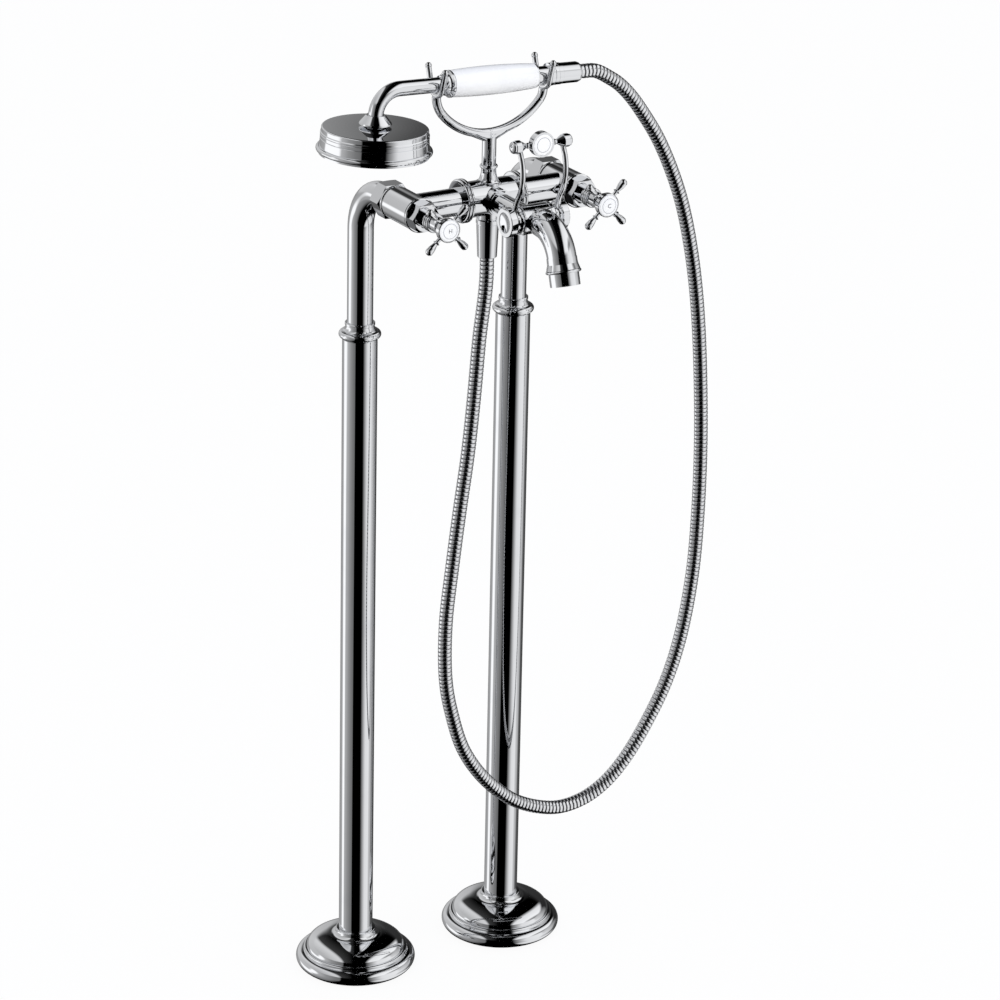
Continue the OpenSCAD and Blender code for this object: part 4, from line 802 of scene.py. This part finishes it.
# %% [markdown]
# A ray of length 1 has a height, a part to the right and a part towards the camera. These
# three numbers choose the wall and the place on it, so the room turns with the camera's
# direction and needs no picture. Matt surfaces get an even light instead, which is a
# little darker and bluer from above, so that the white grip keeps its round form.

# %% The world, as the metal sees it
PANEL_LEVEL = 1.22
EVEN_LEVEL = 1.06
FRONT_EDGE = (-0.08, 0.08)
UPPER_EDGE = (-0.12, 0.0)
FLOOR_EDGE = (-0.60, -0.48)
CEILING_EDGE = (0.34, 0.50)
SKY_EDGE = (0.1, 1.0)
WHITE = rgb(1, 1, 1)
BLUE_GREY = rgb(0.74, 0.77, 0.86)


def make_world():
    world = bpy.data.worlds.new("studio_world")
    bpy.context.scene.world = world
    tree = Tree(world)
    ray = tree.node("TexCoord", out="Generated")

    def part(direction):
        """How far the ray runs in a direction, from -1 to 1."""
        return tree.node("VectorMath", {"operation": "DOT_PRODUCT"},
                         {0: ray, 1: direction}, out="Value")

    across = part(tuple(level_right)) * 0.5 + 0.5
    to_camera = part((math.sin(CAMERA_AZIMUTH), -math.cos(CAMERA_AZIMUTH), 0))
    height = part((0, 0, 1))

    def wall(stops):
        return tree.node("ValToRGB", {"stops": [((x + 1) / 2, level) for x, level in stops]},
                         {"Fac": across})

    def light(colour, level):
        return tree.node("Background", {}, {"Color": colour, "Strength": level})

    behind = tree.blend(height.step(*UPPER_EDGE), wall(BACK_STOPS), wall(UPPER_BACK_STOPS))
    around = tree.blend(to_camera.step(*FRONT_EDGE), behind, wall(FRONT_STOPS))
    lower = tree.blend(height.step(*FLOOR_EDGE), wall(FLOOR_STOPS), around)
    room = tree.blend(height.step(*CEILING_EDGE), lower, wall(TOP_STOPS))
    sky = tree.blend(height.step(*SKY_EDGE), WHITE, BLUE_GREY)
    mirrored = tree.node("LightPath", out="Is Glossy Ray")
    through = tree.node("LightPath", out="Is Transmission Ray")
    seen = tree.node("LightPath", out="Is Camera Ray")
    lit = tree.shader_mix(mirrored + through, light(sky, EVEN_LEVEL), light(room, PANEL_LEVEL))
    tree.shown(tree.shader_mix(seen, lit, light(WHITE, 1.0)), "OutputWorld")


make_world()

# %% [markdown]
# ## The floor
# The pillars stand on a plain pale floor. A pure white one that glows would look like the
# photograph's, but nothing would seem to stand on it. So it is drawn nearly white for the
# camera and keeps a share of its true shading, and a soft shadow still ties the flanges
# to it. Light that bounces off it is as white, which keeps the porcelain bright below.

# %% Floor
FLOOR_GLOW = 0.92
FLOOR_R = 14.0
FLOOR_SIDES = 96
FLOOR_DROP = 0.0002


def make_floor_finish():
    tree = Tree(bpy.data.materials.new("pale_floor"))
    seen = tree.node("LightPath", out="Is Camera Ray")
    bounced = tree.node("LightPath", out="Is Diffuse Ray")
    fleck = tree.noise(scale=30.0, detail=3.0)
    tone = tree.blend(fleck, rgb(0.93, 0.93, 0.93), rgb(0.90, 0.90, 0.90))
    matt = tree.node("BsdfDiffuse", {}, {"Color": tone})
    white = tree.node("Emission", {}, {"Color": WHITE, "Strength": 1.0})
    return tree.shown(tree.shader_mix((seen + bounced) * FLOOR_GLOW, matt, white))


bpy.ops.object.select_all(action="DESELECT")
bpy.ops.mesh.primitive_circle_add(vertices=FLOOR_SIDES, radius=FLOOR_R, fill_type="NGON",
                                  location=(0, 0, -FLOOR_DROP))
floor = bpy.context.object
floor.name = "floor"
floor.data.materials.append(make_floor_finish())
floor.visible_glossy = False

# %% [markdown]
# ## The lamps
# The even light of the world would leave the porcelain flat. A sun would draw a hard
# shadow, so two large square lamps, one from each side, model it gently. The metal
# doesn't mirror them, because the room of the world is what it shows.

# %% Lamps
LAMP_AIM = CAMERA_TARGET + Vector((0, 0, 0.2))


def lamp(name, place, width, power):
    bpy.ops.object.light_add(type="AREA", location=place)
    made = bpy.context.object
    made.name = name
    made.data.shape = "SQUARE"
    made.data.size = width
    made.data.energy = power
    made.rotation_euler = (LAMP_AIM - Vector(place)).to_track_quat("-Z", "Y").to_euler()
    made.visible_glossy = False
    made.visible_camera = False
    print(name, power, "W")


lamp("key_lamp", (-2.2, -1.6, 3.0), width=2.0, power=22)
lamp("fill_lamp", (2.6, -2.4, 2.2), width=2.4, power=10)

# %% [markdown]
# ## Last things
# The picture is shown as the plain sRGB of its light, so that a colour looks as it is
# written.

# %% Finish
bpy.context.scene.view_settings.view_transform = "Standard"
bpy.context.view_layer.update()
